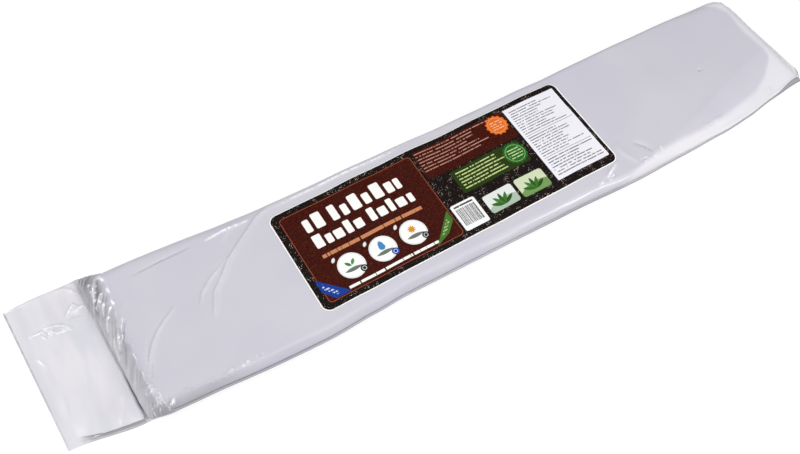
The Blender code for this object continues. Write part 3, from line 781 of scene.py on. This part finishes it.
def film_sleeve():
    """The film sleeve as one closed skin: a grid of places along the bag and points round each
    section, over the top from the near crease to the far one and back along the floor."""
    u = stations()
    top, under = np.array(top_surface(u)), np.array(under_surface(u))
    tips = [np.array([along_bag(u, edge), edge, edge_height(u)]) for edge in (near_edge(u), far_edge(u))]
    ring = np.concatenate([tips[0], top, tips[1], under], axis=2)
    ring[0] -= CENTRE_ALONG
    ring[1] -= CENTRE_ACROSS
    ring[0] += through(ring[1], END_BOW) * smooth((u - TOP_END + BOW_RUN) / (END_SEAL_AT - TOP_END + BOW_RUN))
    mesh = grid_mesh("film_sleeve", ring, True)
    x, y = ring[0], ring[1]
    # slope, groove and seam carry painted shade for the film's colour, and crest carries painted highlights
    for name, values in (
        ("on_block", over_block(x, y)),
        ("slope", slope_painted_shade(u, x, y)),
        ("crushed", np.maximum(crumpled(x, y)[1], 0.5 * slope_share(u))),
        ("crest", painted_highlight_lines(u, x, y)),
        ("along", u + 0.0 * x),
        ("groove", painted_shade_lines(u, x, y)),
        ("seam", seam_painted_shade(u, x.shape)),
    ):
        kept = mesh.attributes.new(name, "FLOAT", "POINT")
        kept.data.foreach_set("value", np.asarray(values, np.float32).ravel())
    mesh.set_sharp_from_angle(angle=SHARP_FOLD)
    return add_piece(mesh)


def seam_painted_shade(u, shape):
    """How much painted shade the near side's seam has at each point of the rings, from 0 to 1: in the strip
    below the seam, where the dark block also shows through, below the tail's lip, on the near shoulder at
    the left, and most where the seam's two layers part."""
    body = seam_share(u)[0]
    pocketed = np.clip(3.0 * pocket(u, 0.0)[1], 0.0, 1.0)
    x = u - CENTRE_ALONG
    strength, tip = through(x, SEAM_PAINTED_SHADE) * body, through(x, TIP_PAINTED_SHADE) * body
    q = np.linspace(0.0, 1.0, EDGE_COLUMNS) ** EDGE_SPACING
    shade = np.zeros(shape)
    shade[:, :1] = tip + 0.35 * pocketed
    shoulder = through(x, SHOULDER_PAINTED_SHADE) * (1 - smooth((q - 0.25) / 0.75))
    on_body, on_tail = through(q, SEAM_STRIP) * strength, through(q, LIP_STRIP) * pocketed
    shade[:, 1:1 + EDGE_COLUMNS] = greatest(on_body, on_tail, shoulder)
    shade[:, 1:3] = np.maximum(shade[:, 1:3], 0.6 * tip)
    shade[:, -4:] = 0.5 * strength
    shade[:, -1:] = np.maximum(0.5 * strength, 0.6 * tip)
    return shade


def placed(name, data):
    """Puts the data into the scene as an object of that name."""
    made = bpy.data.objects.new(name, data)
    bpy.context.scene.collection.objects.link(made)
    return made


def add_piece(mesh):
    """Puts the mesh into the scene as a piece of the same name that rides on the bag."""
    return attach(placed(mesh.name, mesh), "root")


def on_label(s, t):
    """The place in the row frame of a point s along and t across the label, which is turned a
    little about its middle."""
    c, n = math.cos(LABEL_TURN), math.sin(LABEL_TURN)
    along, across = s - LABEL_LENGTH / 2, t - LABEL_WIDTH / 2
    x = LABEL_START + LABEL_LENGTH / 2 - CENTRE_ALONG + c * along - n * across
    y = LABEL_OFF_CENTRE - CENTRE_ACROSS + n * along + c * across
    return x, y


def printed_label():
    """The label: a sheet on a grid of places along it and shares across it. Its width narrows at
    both ends as a quarter circle does, which rounds the corners. It follows the film's top."""
    corner = LABEL_CORNER * (1 - np.cos(np.linspace(0.0, math.pi / 2, LABEL_CORNER_ROWS)))
    straight = np.linspace(LABEL_CORNER, LABEL_LENGTH - LABEL_CORNER, LABEL_ROWS)
    s = np.concatenate([corner[:-1], straight, LABEL_LENGTH - corner[-2::-1]])[:, None]
    into = LABEL_CORNER - np.minimum(np.minimum(s, LABEL_LENGTH - s), LABEL_CORNER)
    half = LABEL_WIDTH / 2 - LABEL_CORNER + np.sqrt(LABEL_CORNER**2 - into**2)
    t = LABEL_WIDTH / 2 + half * np.linspace(-1.0, 1.0, LABEL_COLUMNS)[None, :]
    s = s + 0.0 * t
    x, y = on_label(s, t)
    z = BLOCK_THICKNESS + relief(x, y) + LABEL_LIFT
    mesh = grid_mesh("printed_label", (x, y, z), False)
    corners = np.empty(len(mesh.loops), np.int32)
    mesh.loops.foreach_get("vertex_index", corners)
    places = np.stack([s / LABEL_LENGTH, t / LABEL_WIDTH], axis=-1).reshape(-1, 2)
    mesh.uv_layers.new(name="print").data.foreach_set("uv", places[corners].astype(np.float32).ravel())
    piece = add_piece(mesh)
    sheet = piece.modifiers.new("thickness", "SOLIDIFY")
    sheet.thickness = LABEL_THICKNESS
    sheet.offset = 1.0
    return piece


def linear(colour):
    """The colour as the shader takes it, from red, green and blue of 0 to 255 as a screen has them."""
    shares = [channel / 255 for channel in colour]
    return tuple(c / 12.92 if c <= 0.04045 else ((c + 0.055) / 1.055) ** 2.4 for c in shares) + (1.0,)


def node(tree, kind, inputs=(), output=0, **settings):
    """Adds a shader node of that kind. Each input is a socket to link or a value to set, by place or
    by name."""
    made = tree.nodes.new("ShaderNode" + kind)
    for name, value in settings.items():
        setattr(made, name, value)
    for place, value in inputs.items() if isinstance(inputs, dict) else enumerate(inputs):
        if isinstance(value, bpy.types.NodeSocket):
            tree.links.new(value, made.inputs[place])
        else:
            made.inputs[place].default_value = value
    return made.outputs[output]


def calculate(tree, operation, *values):
    """One step of arithmetic."""
    return node(tree, "Math", values, operation=operation)


def vector(tree, operation, a, b=(0, 0, 0), output=0):
    """One step of vector arithmetic."""
    return node(tree, "VectorMath", (a, b), output, operation=operation)


def blend(tree, share, first, second):
    """The first colour where share is 0, the second where it is 1, each a socket or as linear takes
    it."""
    first, second = (linear(c) if isinstance(c, tuple) else c for c in (first, second))
    return node(tree, "Mix", {0: share, 6: first, 7: second}, 2, data_type="RGBA")


def scaled(tree, value, low, high, to_low=0.0, to_high=1.0):
    """The value, taken from one range to another and kept inside it."""
    return node(tree, "MapRange", (value, low, high, to_low, to_high))


def stretched(tree, place, scale, turn=0.0, shift=0.0):
    """The places moved, turned about Z and scaled on each axis, for a pattern that runs one way."""
    return node(tree, "Mapping", {"Vector": place, "Location": (shift, shift, 0.0), "Rotation": (0.0, 0.0, turn),
                                  "Scale": scale})


def noise(tree, place, scale, detail=2.0, distortion=0.0):
    """Soft noise of about 0.3 to 0.7 at that many spots for each unit of length."""
    return node(tree, "TexNoise", {"Vector": place, "Scale": scale, "Detail": detail, "Distortion": distortion})


def new_material(name):
    """A material of that name, its node tree and its shader's sockets."""
    material = bpy.data.materials.new(name)
    material.use_nodes = True
    tree = material.node_tree
    return material, tree, tree.nodes["Principled BSDF"].inputs


def film_material():
    """White polythene film: greyer over the block and lighter where it hangs free, a little pink in
    the slack places, with soft gloss, fine wrinkles and the die's faint lines along the bag. Painted shade
    darkens bands on the tail, the slope, the near seam and the creases, and painted highlights whiten
    the crests and crumpled facets."""
    material, tree, shader = new_material("film")
    place = node(tree, "TexCoord", output="Object")
    on_block, crushed, along, slope, seam, groove, crest = (
        node(tree, "Attribute", output="Fac", attribute_name=name)
        for name in ("on_block", "crushed", "along", "slope", "seam", "groove", "crest"))

    cloud = scaled(tree, noise(tree, place, 9.0, 1.0), 0.38, 0.62)
    lying = blend(tree, cloud, (207, 206, 218), (211, 209, 218))
    pink = scaled(tree, noise(tree, place, 14.0, 2.0), 0.45, 0.62)
    free = blend(tree, pink, (229, 229, 235), (234, 230, 236))
    colour = blend(tree, on_block, free, lying)
    # Darker bands on the tail: painted shade of its soft folds, partly the tone of its double film
    tail_shade_bands = noise(tree, stretched(tree, place, (42.0, 11.0, 20.0), 0.25), 1.0, 1.5)
    tail_shade_bands = scaled(tree, tail_shade_bands, 0.44, 0.64, 0.0, 0.4)
    on_tail = scaled(tree, along, CREASE_AT - 0.001, CREASE_AT, 1.0, 0.0)
    weld = scaled(tree, along, 0.0016, 0.0028, 1.0, 0.0)
    far = scaled(tree, node(tree, "SeparateXYZ", (place,), 1), -0.06, 0.08, 0.35, 1.0)
    worn = calculate(tree, "MULTIPLY", scaled(tree, noise(tree, place, 80.0, 2.0), 0.35, 0.65, 0.35, 0.85), far)
    broken = scaled(tree, noise(tree, place, 230.0, 2.0), 0.42, 0.54, 0.25, 1.0)
    for share, strength, tone in (
        (tail_shade_bands, on_tail, (207, 206, 216)),
        (weld, worn, (168, 168, 174)),
        # Painted shade on the slope down to the tail's crease
        (slope, 0.76, (136, 134, 141)),
        # Painted shade at the near side's seam and the tail's lip, partly the dark block showing through
        (seam, 0.85, (92, 90, 95)),
        # Painted shade in the tail's crease, in sunk folds, beside raised ones and in the seal's creases
        (groove, 1.0, (50, 48, 52)),
        # Painted highlights: white glints on crests and crumpled facets, broken up by noise
        (crest, broken, (254, 253, 255)),
    ):
        colour = blend(tree, calculate(tree, "MULTIPLY", share, strength), colour, tone)
    tree.links.new(colour, shader["Base Color"])

    patch = noise(tree, place, 60.0, 3.0)
    rough = scaled(tree, patch, 0.35, 0.65, 0.32, 0.42)
    tree.links.new(calculate(tree, "MULTIPLY_ADD", crushed, -0.12, rough), shader["Roughness"])
    tree.links.new(calculate(tree, "MULTIPLY_ADD", crushed, 0.7, 0.3), shader["Coat Weight"])
    shader["Coat Roughness"].default_value = 0.09
    shader["IOR"].default_value = 1.51

    streaks = stretched(tree, place, (60.0, 330.0, 60.0), -1.08)
    streaks = calculate(tree, "MULTIPLY", noise(tree, streaks, 1.0, 3.0, 0.6), slope)
    bent = node(tree, "TexNoise", {"Vector": place, "Scale": 90.0}, 1)
    bent = vector(tree, "ADD", place, vector(tree, "MULTIPLY", bent, (0.006, 0.006, 0.006)))
    creases = node(tree, "TexVoronoi", {"Vector": bent, "Scale": 170.0}, feature="DISTANCE_TO_EDGE")
    creases = calculate(tree, "MULTIPLY", calculate(tree, "MINIMUM", creases, 0.25), crushed)
    die_lines = noise(tree, stretched(tree, place, (6.0, 260.0, 260.0)), 1.0, 2.0)
    fine = calculate(tree, "MULTIPLY_ADD", die_lines, 0.25, noise(tree, place, 110.0, 3.0, 0.4))
    height = calculate(tree, "MULTIPLY_ADD", creases, 1.3, calculate(tree, "MULTIPLY", fine, 0.1))
    height = calculate(tree, "MULTIPLY_ADD", streaks, 1.0, height)
    bump = node(tree, "Bump", {"Strength": 0.6, "Distance": 0.001, "Height": height})
    tree.links.new(bump, shader["Normal"])
    return material


class Print:
    """Lays flat fields of ink over the label's ground, each over those before it. Places are in
    millimetres from the label's near left corner."""

    def __init__(self, tree):
        self.tree = tree
        uv = node(tree, "UVMap", uv_map="print")
        self.place = vector(tree, "MULTIPLY", uv, (LABEL_LENGTH / MM, LABEL_WIDTH / MM, 0.0))
        self.x = node(tree, "SeparateXYZ", (self.place,), 0)
        self.y = node(tree, "SeparateXYZ", (self.place,), 1)
        self.colour = None

    def step(self, operation, *values):
        """One step of arithmetic in the label's own tree."""
        return calculate(self.tree, operation, *values)

    def box_distance(self, x0, y0, x1, y1, radius):
        """How far each place is from a rectangle that is smaller by the corner's radius."""
        away = vector(self.tree, "SUBTRACT", self.place, ((x0 + x1) / 2, (y0 + y1) / 2, 0.0))
        away = vector(self.tree, "ABSOLUTE", away)
        away = vector(self.tree, "SUBTRACT", away, ((x1 - x0) / 2 - radius, (y1 - y0) / 2 - radius, 1.0))
        away = vector(self.tree, "MAXIMUM", away, (0.0, 0.0, 0.0))
        return vector(self.tree, "LENGTH", away, output=1)

    def box(self, x0, y0, x1, y1, radius=0.3):
        """A rectangle with round corners."""
        return self.step("LESS_THAN", self.box_distance(x0, y0, x1, y1, radius), radius)

    def frame(self, x0, y0, x1, y1, radius, width):
        """The outline of such a rectangle."""
        distance = self.box_distance(x0, y0, x1, y1, radius)
        return self.step("COMPARE", distance, radius - width / 2, width / 2)

    def from_point(self, x, y):
        """How far each place is from a point."""
        return vector(self.tree, "DISTANCE", self.place, (x, y, 0.0), output=1)

    def disc(self, x, y, radius):
        """The places that lie nearer to a point than the radius."""
        return self.step("LESS_THAN", self.from_point(x, y), radius)

    def ring(self, x, y, radius, width):
        """A circle's line of that width."""
        return self.step("COMPARE", self.from_point(x, y), radius, width / 2)

    def both(self, *masks):
        """What the masks share, as their product."""
        made = masks[0]
        for mask in masks[1:]:
            made = self.step("MULTIPLY", made, mask)
        return made

    def polygon(self, *points):
        """A convex field: the places on the left of every side, as the points run round it."""
        sides = []
        for (ax, ay), (bx, by) in zip(points, points[1:] + points[:1]):
            outward = (by - ay, ax - bx, 0.0)
            across = vector(self.tree, "DOT_PRODUCT", self.place, outward, output=1)
            sides.append(self.step("LESS_THAN", across, outward[0] * ax + outward[1] * ay))
        return self.both(*sides)

    def leaf(self, x, y, length, width, turn):
        """A pointed oval: what two equal discs share. Their radius follows from length and width."""
        radius = (length**2 + width**2) / (4 * width)
        off = radius - width / 2
        dx, dy = -off * math.sin(turn), off * math.cos(turn)
        return self.both(self.disc(x + dx, y + dy, radius), self.disc(x - dx, y - dy, radius))

    def drop(self, x, y, radius):
        """A water drop: a disc with a pointed top that is what two larger discs share."""
        bulb = self.disc(x, y, radius)
        top = self.leaf(x, y + 0.55 * radius, 3.1 * radius, 1.72 * radius, math.pi / 2)
        above = self.step("GREATER_THAN", self.y, y)
        return self.step("MAXIMUM", bulb, self.both(top, above))

    def wavy(self, x, y, radius, waves, depth):
        """A badge whose rim runs in and out that many times, as a cosine of the angle."""
        away = vector(self.tree, "SUBTRACT", self.place, (x, y, 0.0))
        across = node(self.tree, "SeparateXYZ", (away,), 0)
        up = node(self.tree, "SeparateXYZ", (away,), 1)
        angle = self.step("ARCTAN2", up, across)
        wave = self.step("COSINE", self.step("MULTIPLY", angle, waves))
        rim = self.step("MULTIPLY_ADD", wave, radius * depth, radius)
        return self.step("LESS_THAN", vector(self.tree, "LENGTH", away, output=1), rim)

    def rows(self, x0, y0, x1, y1, count, height, grain, seed, ragged=0.0):
        """Rows of dashes: noise along each row leaves gaps between them, and ragged is the share of
        the width by which rows may end early."""
        pitch = (y1 - y0) / count
        step = self.step("DIVIDE", self.step("SUBTRACT", self.y, y0), pitch)
        row = self.step("FLOOR", step)
        share = self.step("FRACT", step)
        inked = self.step("COMPARE", share, 0.5, height / 2)
        spot = node(self.tree, "CombineXYZ", (
            self.step("DIVIDE", self.x, grain),
            self.step("MULTIPLY_ADD", row, 7.3, seed), 0.0))
        dashes = self.step("GREATER_THAN", noise(self.tree, spot, 1.0, 1.0), 0.41)
        mask = self.both(self.box(x0, y0, x1, y1), inked, dashes)
        if ragged:
            spot = node(self.tree, "CombineXYZ", (row, seed, 0.0))
            ends = node(self.tree, "TexWhiteNoise", {"Vector": spot})
            last = self.step("MULTIPLY_ADD", ends, -ragged * (x1 - x0), x1)
            mask = self.both(mask, self.step("LESS_THAN", self.x, last))
        return mask

    def bars(self, x0, y0, x1, y1, grain, seed):
        """Upright bars of uneven width, from noise along the rectangle."""
        spot = node(self.tree, "CombineXYZ", (self.step("DIVIDE", self.x, grain), seed, 0.0))
        ink = self.step("GREATER_THAN", noise(self.tree, spot, 1.0, 3.0), 0.5)
        return self.both(self.box(x0, y0, x1, y1), ink)

    def lay(self, colour, mask):
        """Lays an ink over what is there, where the mask is 1."""
        self.colour = blend(self.tree, mask, self.colour, colour)


def soil_ground(ink):
    """Loose dark coir: black with pale crumbs in clusters, and red-brown with fibres from stretched
    noise in two directions in two panels."""
    tree = ink.tree
    crumbs = scaled(tree, noise(tree, ink.place, 0.55, 5.0, 0.4), 0.38, 0.66)
    black = blend(tree, crumbs, (6, 5, 5), (38, 28, 26))
    brown = blend(tree, crumbs, (34, 6, 3), (82, 23, 12))
    for turn, shift in ((0.5, 3.0), (-0.9, 9.0)):
        laid = noise(tree, stretched(tree, ink.place, (0.16, 1.3, 1.0), turn, shift), 1.0, 2.0, 0.5)
        brown = blend(tree, scaled(tree, laid, 0.58, 0.7, 0.0, 0.5), brown, (118, 50, 30))
    clusters = scaled(tree, noise(tree, ink.place, 0.11, 2.0), 0.42, 0.6)
    for scale, size, tone in ((0.62, 0.25, (220, 202, 192)), (0.38, 0.14, (176, 118, 92))):
        spots = node(tree, "TexVoronoi", {"Vector": ink.place, "Scale": scale})
        spot = calculate(tree, "LESS_THAN", spots, calculate(tree, "MULTIPLY", clusters, size))
        black = blend(tree, spot, black, tone)
    panels = calculate(tree, "MAXIMUM", ink.box(11, 9, 210, 147, 5.0), ink.box(214, 101, 360, 148.5, 3.0))
    ink.colour = blend(tree, panels, black, brown)


def heading(ink):
    """Two lines of white blocks, a thin rule of dashes, and dashes at the foot."""
    white, tan = (254, 252, 248), (206, 136, 96)
    upper = ((36, 9, 20), (50, 13, 24), (74, 10, 24), (90, 9, 17), (104, 13, 24), (122, 10, 17), (137, 14, 24),
             (156, 11, 17), (170, 8, 17))
    lower = ((36, 12, 20), (52, 9, 14), (64, 13, 14), (81, 9, 20), (94, 12, 14), (116, 9, 20), (129, 12, 14),
             (145, 8, 20), (157, 13, 14), (174, 8, 14))
    for foot, radius, blocks in ((110, 2.2, upper), (84, 1.8, lower)):
        for x, width, height in blocks:
            ink.lay(white, ink.box(x, foot, x + width, foot + height, radius))
    ink.lay(tan, ink.rows(35, 66, 182, 76, 1, 0.52, 3.4, 5.0))
    ink.lay(white, ink.rows(43, 13, 174, 20, 1, 0.55, 3.2, 8.0))


def picture_discs(ink):
    """Three white discs, each with a drop, a leaf or a sun, a little tag and a round badge."""
    for i, x in enumerate((61.0, 107.0, 153.0)):
        y = (42.5, 43.0, 44.0)[i]
        ink.lay((254, 254, 252), ink.disc(x, y, 18.5))
        ink.lay((196, 198, 198), ink.ring(x, y, 17.4, 0.5))
        ink.lay((236, 234, 228), ink.leaf(x - 17.0, y + 17.5, 8.0, 4.5, 0.9))
        ink.lay((110, 122, 112), ink.leaf(x, y - 5.5, 25.0, 5.5, 0.0))
        if i == 0:
            ink.lay((60, 132, 60), ink.leaf(x - 3.6, y + 3.5, 10.0, 4.2, 2.3))
            ink.lay((78, 150, 70), ink.leaf(x + 3.6, y + 4.5, 10.0, 4.2, 0.9))
        elif i == 1:
            ink.lay((70, 140, 200), ink.drop(x, y + 3.0, 4.4))
        else:
            ink.lay((226, 150, 40), ink.wavy(x, y + 5.0, 4.6, 9, 0.22))
        ink.lay((28, 74, 168) if i == 1 else (40, 38, 40), ink.disc(x + 12.0, y - 11.0, 5.0))
        ink.lay((236, 236, 236), ink.ring(x + 12.0, y - 11.0, 2.6, 0.7))


def ribbons(ink):
    """A blue ribbon across the near left corner, and a green one before the bar code."""
    ink.lay((26, 62, 150), ink.polygon((10, 28), (22, 12), (44, 12), (10, 47)))
    ink.lay((200, 214, 240), ink.both(ink.polygon((13, 31), (26, 16), (30, 18), (15, 37)),
                                      ink.rows(8, 10, 46, 48, 9, 0.5, 1.4, 2.0)))
    ink.lay((70, 120, 46), ink.polygon((169, 11), (192, 20), (207, 34), (207, 50)))
    ink.lay((196, 214, 150), ink.both(ink.polygon((180, 19), (192, 25), (202, 35), (200, 39)),
                                      ink.rows(170, 12, 207, 48, 9, 0.5, 1.4, 6.0)))


def right_half(ink):
    """Small rows in tan, two wavy badges, a green band, two leaf pictures, a bar code, and a white
    panel of grey rows."""
    ink.lay((196, 142, 124), ink.rows(216, 112, 352, 147, 7, 0.3, 2.6, 12.0, 0.45))
    ink.lay((232, 112, 34), ink.wavy(343, 131, 15.6, 14, 0.06))
    ink.lay((250, 170, 110), ink.ring(343, 131, 12.6, 0.8))
    ink.lay((250, 200, 160), ink.both(ink.rows(334, 123, 353, 139, 4, 0.36, 2.2, 21.0), ink.disc(343, 131, 10.5)))
    ink.lay((42, 60, 17), ink.box(243, 60, 352, 98, 3.0))
    ink.lay((206, 222, 150), ink.rows(249, 64, 326, 95, 6, 0.34, 2.8, 31.0, 0.2))
    ink.lay((38, 104, 42), ink.wavy(338, 80, 16.8, 16, 0.05))
    ink.lay((150, 196, 110), ink.ring(338, 80, 13.6, 0.8))
    ink.lay((200, 226, 160), ink.both(ink.rows(328, 71, 349, 89, 4, 0.34, 2.2, 41.0), ink.disc(338, 80, 11.5)))
    leaf_picture(ink, 258, 15, 303, 44, (176, 196, 176), (232, 236, 232))
    leaf_picture(ink, 308, 14, 353, 44, (120, 158, 92), (214, 224, 190))
    ink.lay((252, 252, 252), ink.box(213, 10, 250, 52, 3.0))
    ink.lay((34, 32, 34), ink.bars(217, 17, 246, 44, 0.85, 4.0))
    ink.lay((70, 68, 70), ink.rows(217, 45, 246, 50, 1, 0.5, 1.8, 3.0))
    ink.lay((243, 242, 249), ink.box(363, 14, 449, 147, 1.0))
    for y0, y1, count, height, seed, ragged in ((96, 142, 11, 0.32, 51.0, 0.5), (54, 92, 9, 0.32, 61.0, 0.5),
                                                (19, 50, 7, 0.34, 71.0, 0.4)):
        ink.lay((112, 110, 116), ink.rows(368, y0, 446, y1, count, height, 2.4, seed, ragged))
    for y in (52.0, 94.0):
        ink.lay((150, 148, 152), ink.box(367, y - 0.4, 446, y + 0.4, 0.1))


def leaf_picture(ink, x0, y0, x1, y1, ground, sky):
    """A small panel: pale sky over a green ground, with five leaves that fan out from its foot."""
    panel = ink.box(x0, y0, x1, y1, 4.0)
    ink.lay(sky, panel)
    ink.lay(ground, ink.both(panel, ink.disc((x0 + x1) / 2 + 6, y0 - 34, 50)))
    cx, cy = (x0 + x1) / 2, y0 + 5.0
    for turn, tone in ((0.5, 0.7), (1.05, 1.0), (1.6, 0.8), (2.15, 1.1), (2.7, 0.9)):
        colour = (int(62 * tone), int(118 * tone), int(44 * tone))
        leaf = ink.leaf(cx + 9.5 * math.cos(turn), cy + 9.5 * math.sin(turn), 19.0, 5.2, turn)
        ink.lay(colour, ink.both(panel, leaf))


def label_material():
    """The label's print, with a soft satin varnish and the faint grain of its paper."""
    material, tree, shader = new_material("label_print")
    ink = Print(tree)
    soil_ground(ink)
    ink.lay((172, 96, 62), ink.frame(12, 10, 209, 146, 5.0, 0.6))
    heading(ink)
    picture_discs(ink)
    ribbons(ink)
    right_half(ink)
    rim, radius = LABEL_RIM / MM, (LABEL_CORNER - LABEL_RIM) / MM
    inside = ink.box_distance(rim, rim, LABEL_LENGTH / MM - rim, LABEL_WIDTH / MM - rim, radius)
    outside = calculate(tree, "GREATER_THAN", inside, radius)
    ink.lay((254, 254, 252), outside)
    tree.links.new(ink.colour, shader["Base Color"])
    shader["Specular IOR Level"].default_value = 0.1
    place = node(tree, "TexCoord", output="Object")
    tree.links.new(scaled(tree, noise(tree, place, 120.0, 2.0), 0.3, 0.7, 0.42, 0.54), shader["Roughness"])
    height = calculate(tree, "MULTIPLY_ADD", noise(tree, place, 40.0, 1.0), 4.0, noise(tree, place, 900.0, 3.0))
    bump = node(tree, "Bump", {"Strength": 0.12, "Distance": 0.0003, "Height": height})
    tree.links.new(bump, shader["Normal"])
    return material


def floor_and_lights():
    """A plain pale floor that the camera sees as white with a soft shadow, an even sky, one wide
    softbox above the bag and small ones round it that glint in the film's creases."""
    mesh = bpy.data.meshes.new("floor")
    half, drop = 6.0, -0.0004
    corners = [(-half, -half, drop), (half, -half, drop), (half, half, drop), (-half, half, drop)]
    mesh.from_pydata(corners, [], [(0, 1, 2, 3)])
    placed("floor", mesh)
    material, tree, _ = new_material("floor")
    tree.nodes.remove(tree.nodes["Principled BSDF"])
    seen = seen_directly(tree)
    pale = node(tree, "BsdfDiffuse", {"Color": (0.55, 0.55, 0.55, 1.0)})
    shade = node(tree, "BsdfDiffuse", {"Color": (0.28, 0.28, 0.28, 1.0)})
    white = node(tree, "Emission", {"Color": (1.0, 1.0, 1.0, 1.0), "Strength": 0.8})
    shown = node(tree, "AddShader", (shade, white))
    tree.links.new(node(tree, "MixShader", (seen, pale, shown)), tree.nodes["Material Output"].inputs[0])
    mesh.materials.append(material)

    world = bpy.data.worlds.new("studio")
    bpy.context.scene.world = world
    world.use_nodes = True
    tree = world.node_tree
    lit = tree.nodes["Background"].inputs
    lit["Color"].default_value = (1.0, 1.0, 1.0, 1.0)
    tree.links.new(scaled(tree, seen_directly(tree), 0.0, 1.0, 0.2, 1.0), lit["Strength"])

    for name, place, size, watts in (
        ("overhead", (0.55, -0.5, 2.4), 2.4, 27.0),
        ("fill_right", (1.5, -0.8, 1.1), 0.9, 3.8),
        ("glint_back", (-0.9, 1.7, 1.0), 0.35, 8.0),
        ("glint_left", (-1.42, 0.82, 1.27), 0.35, 8.0),
        ("glint_near", (-0.9, -1.4, 1.2), 0.35, 8.0),
        ("glint_corner", (1.0, -1.5, 1.2), 0.35, 10.0),
    ):
        lamp = bpy.data.lights.new(name, "AREA")
        lamp.shape = "SQUARE"
        lamp.size = size
        lamp.energy = watts
        held = placed(name, lamp)
        held.location = place
        held.rotation_mode = "QUATERNION"
        held.rotation_quaternion = (-Vector(place)).to_track_quat("-Z", "Y")


def seen_directly(tree):
    """1 for what the camera sees straight or through something clear."""
    ray = tree.nodes.new("ShaderNodeLightPath").outputs
    return calculate(tree, "MAXIMUM", ray["Is Camera Ray"], ray["Is Transmission Ray"])


def camera():
    """The photograph's camera."""
    data = bpy.data.cameras.new("camera")
    data.sensor_width = SENSOR
    data.lens = LENS
    made = placed("camera", data)
    yaw, tilt, roll = map(math.radians, CAMERA_TURN)
    turn = Matrix.Rotation(yaw, 4, "Z") @ Matrix.Rotation(tilt, 4, "X") @ Matrix.Rotation(roll, 4, "Z")
    made.matrix_world = Matrix.Translation(CAMERA_PLACE) @ turn
    bpy.context.scene.camera = made


sleeve = film_sleeve()
sleeve.data.materials.append(film_material())
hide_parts("sealed_bag")

label = printed_label()
label.data.materials.append(label_material())
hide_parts("label")

floor_and_lights()
camera()
bpy.context.scene.view_settings.view_transform = "Standard"
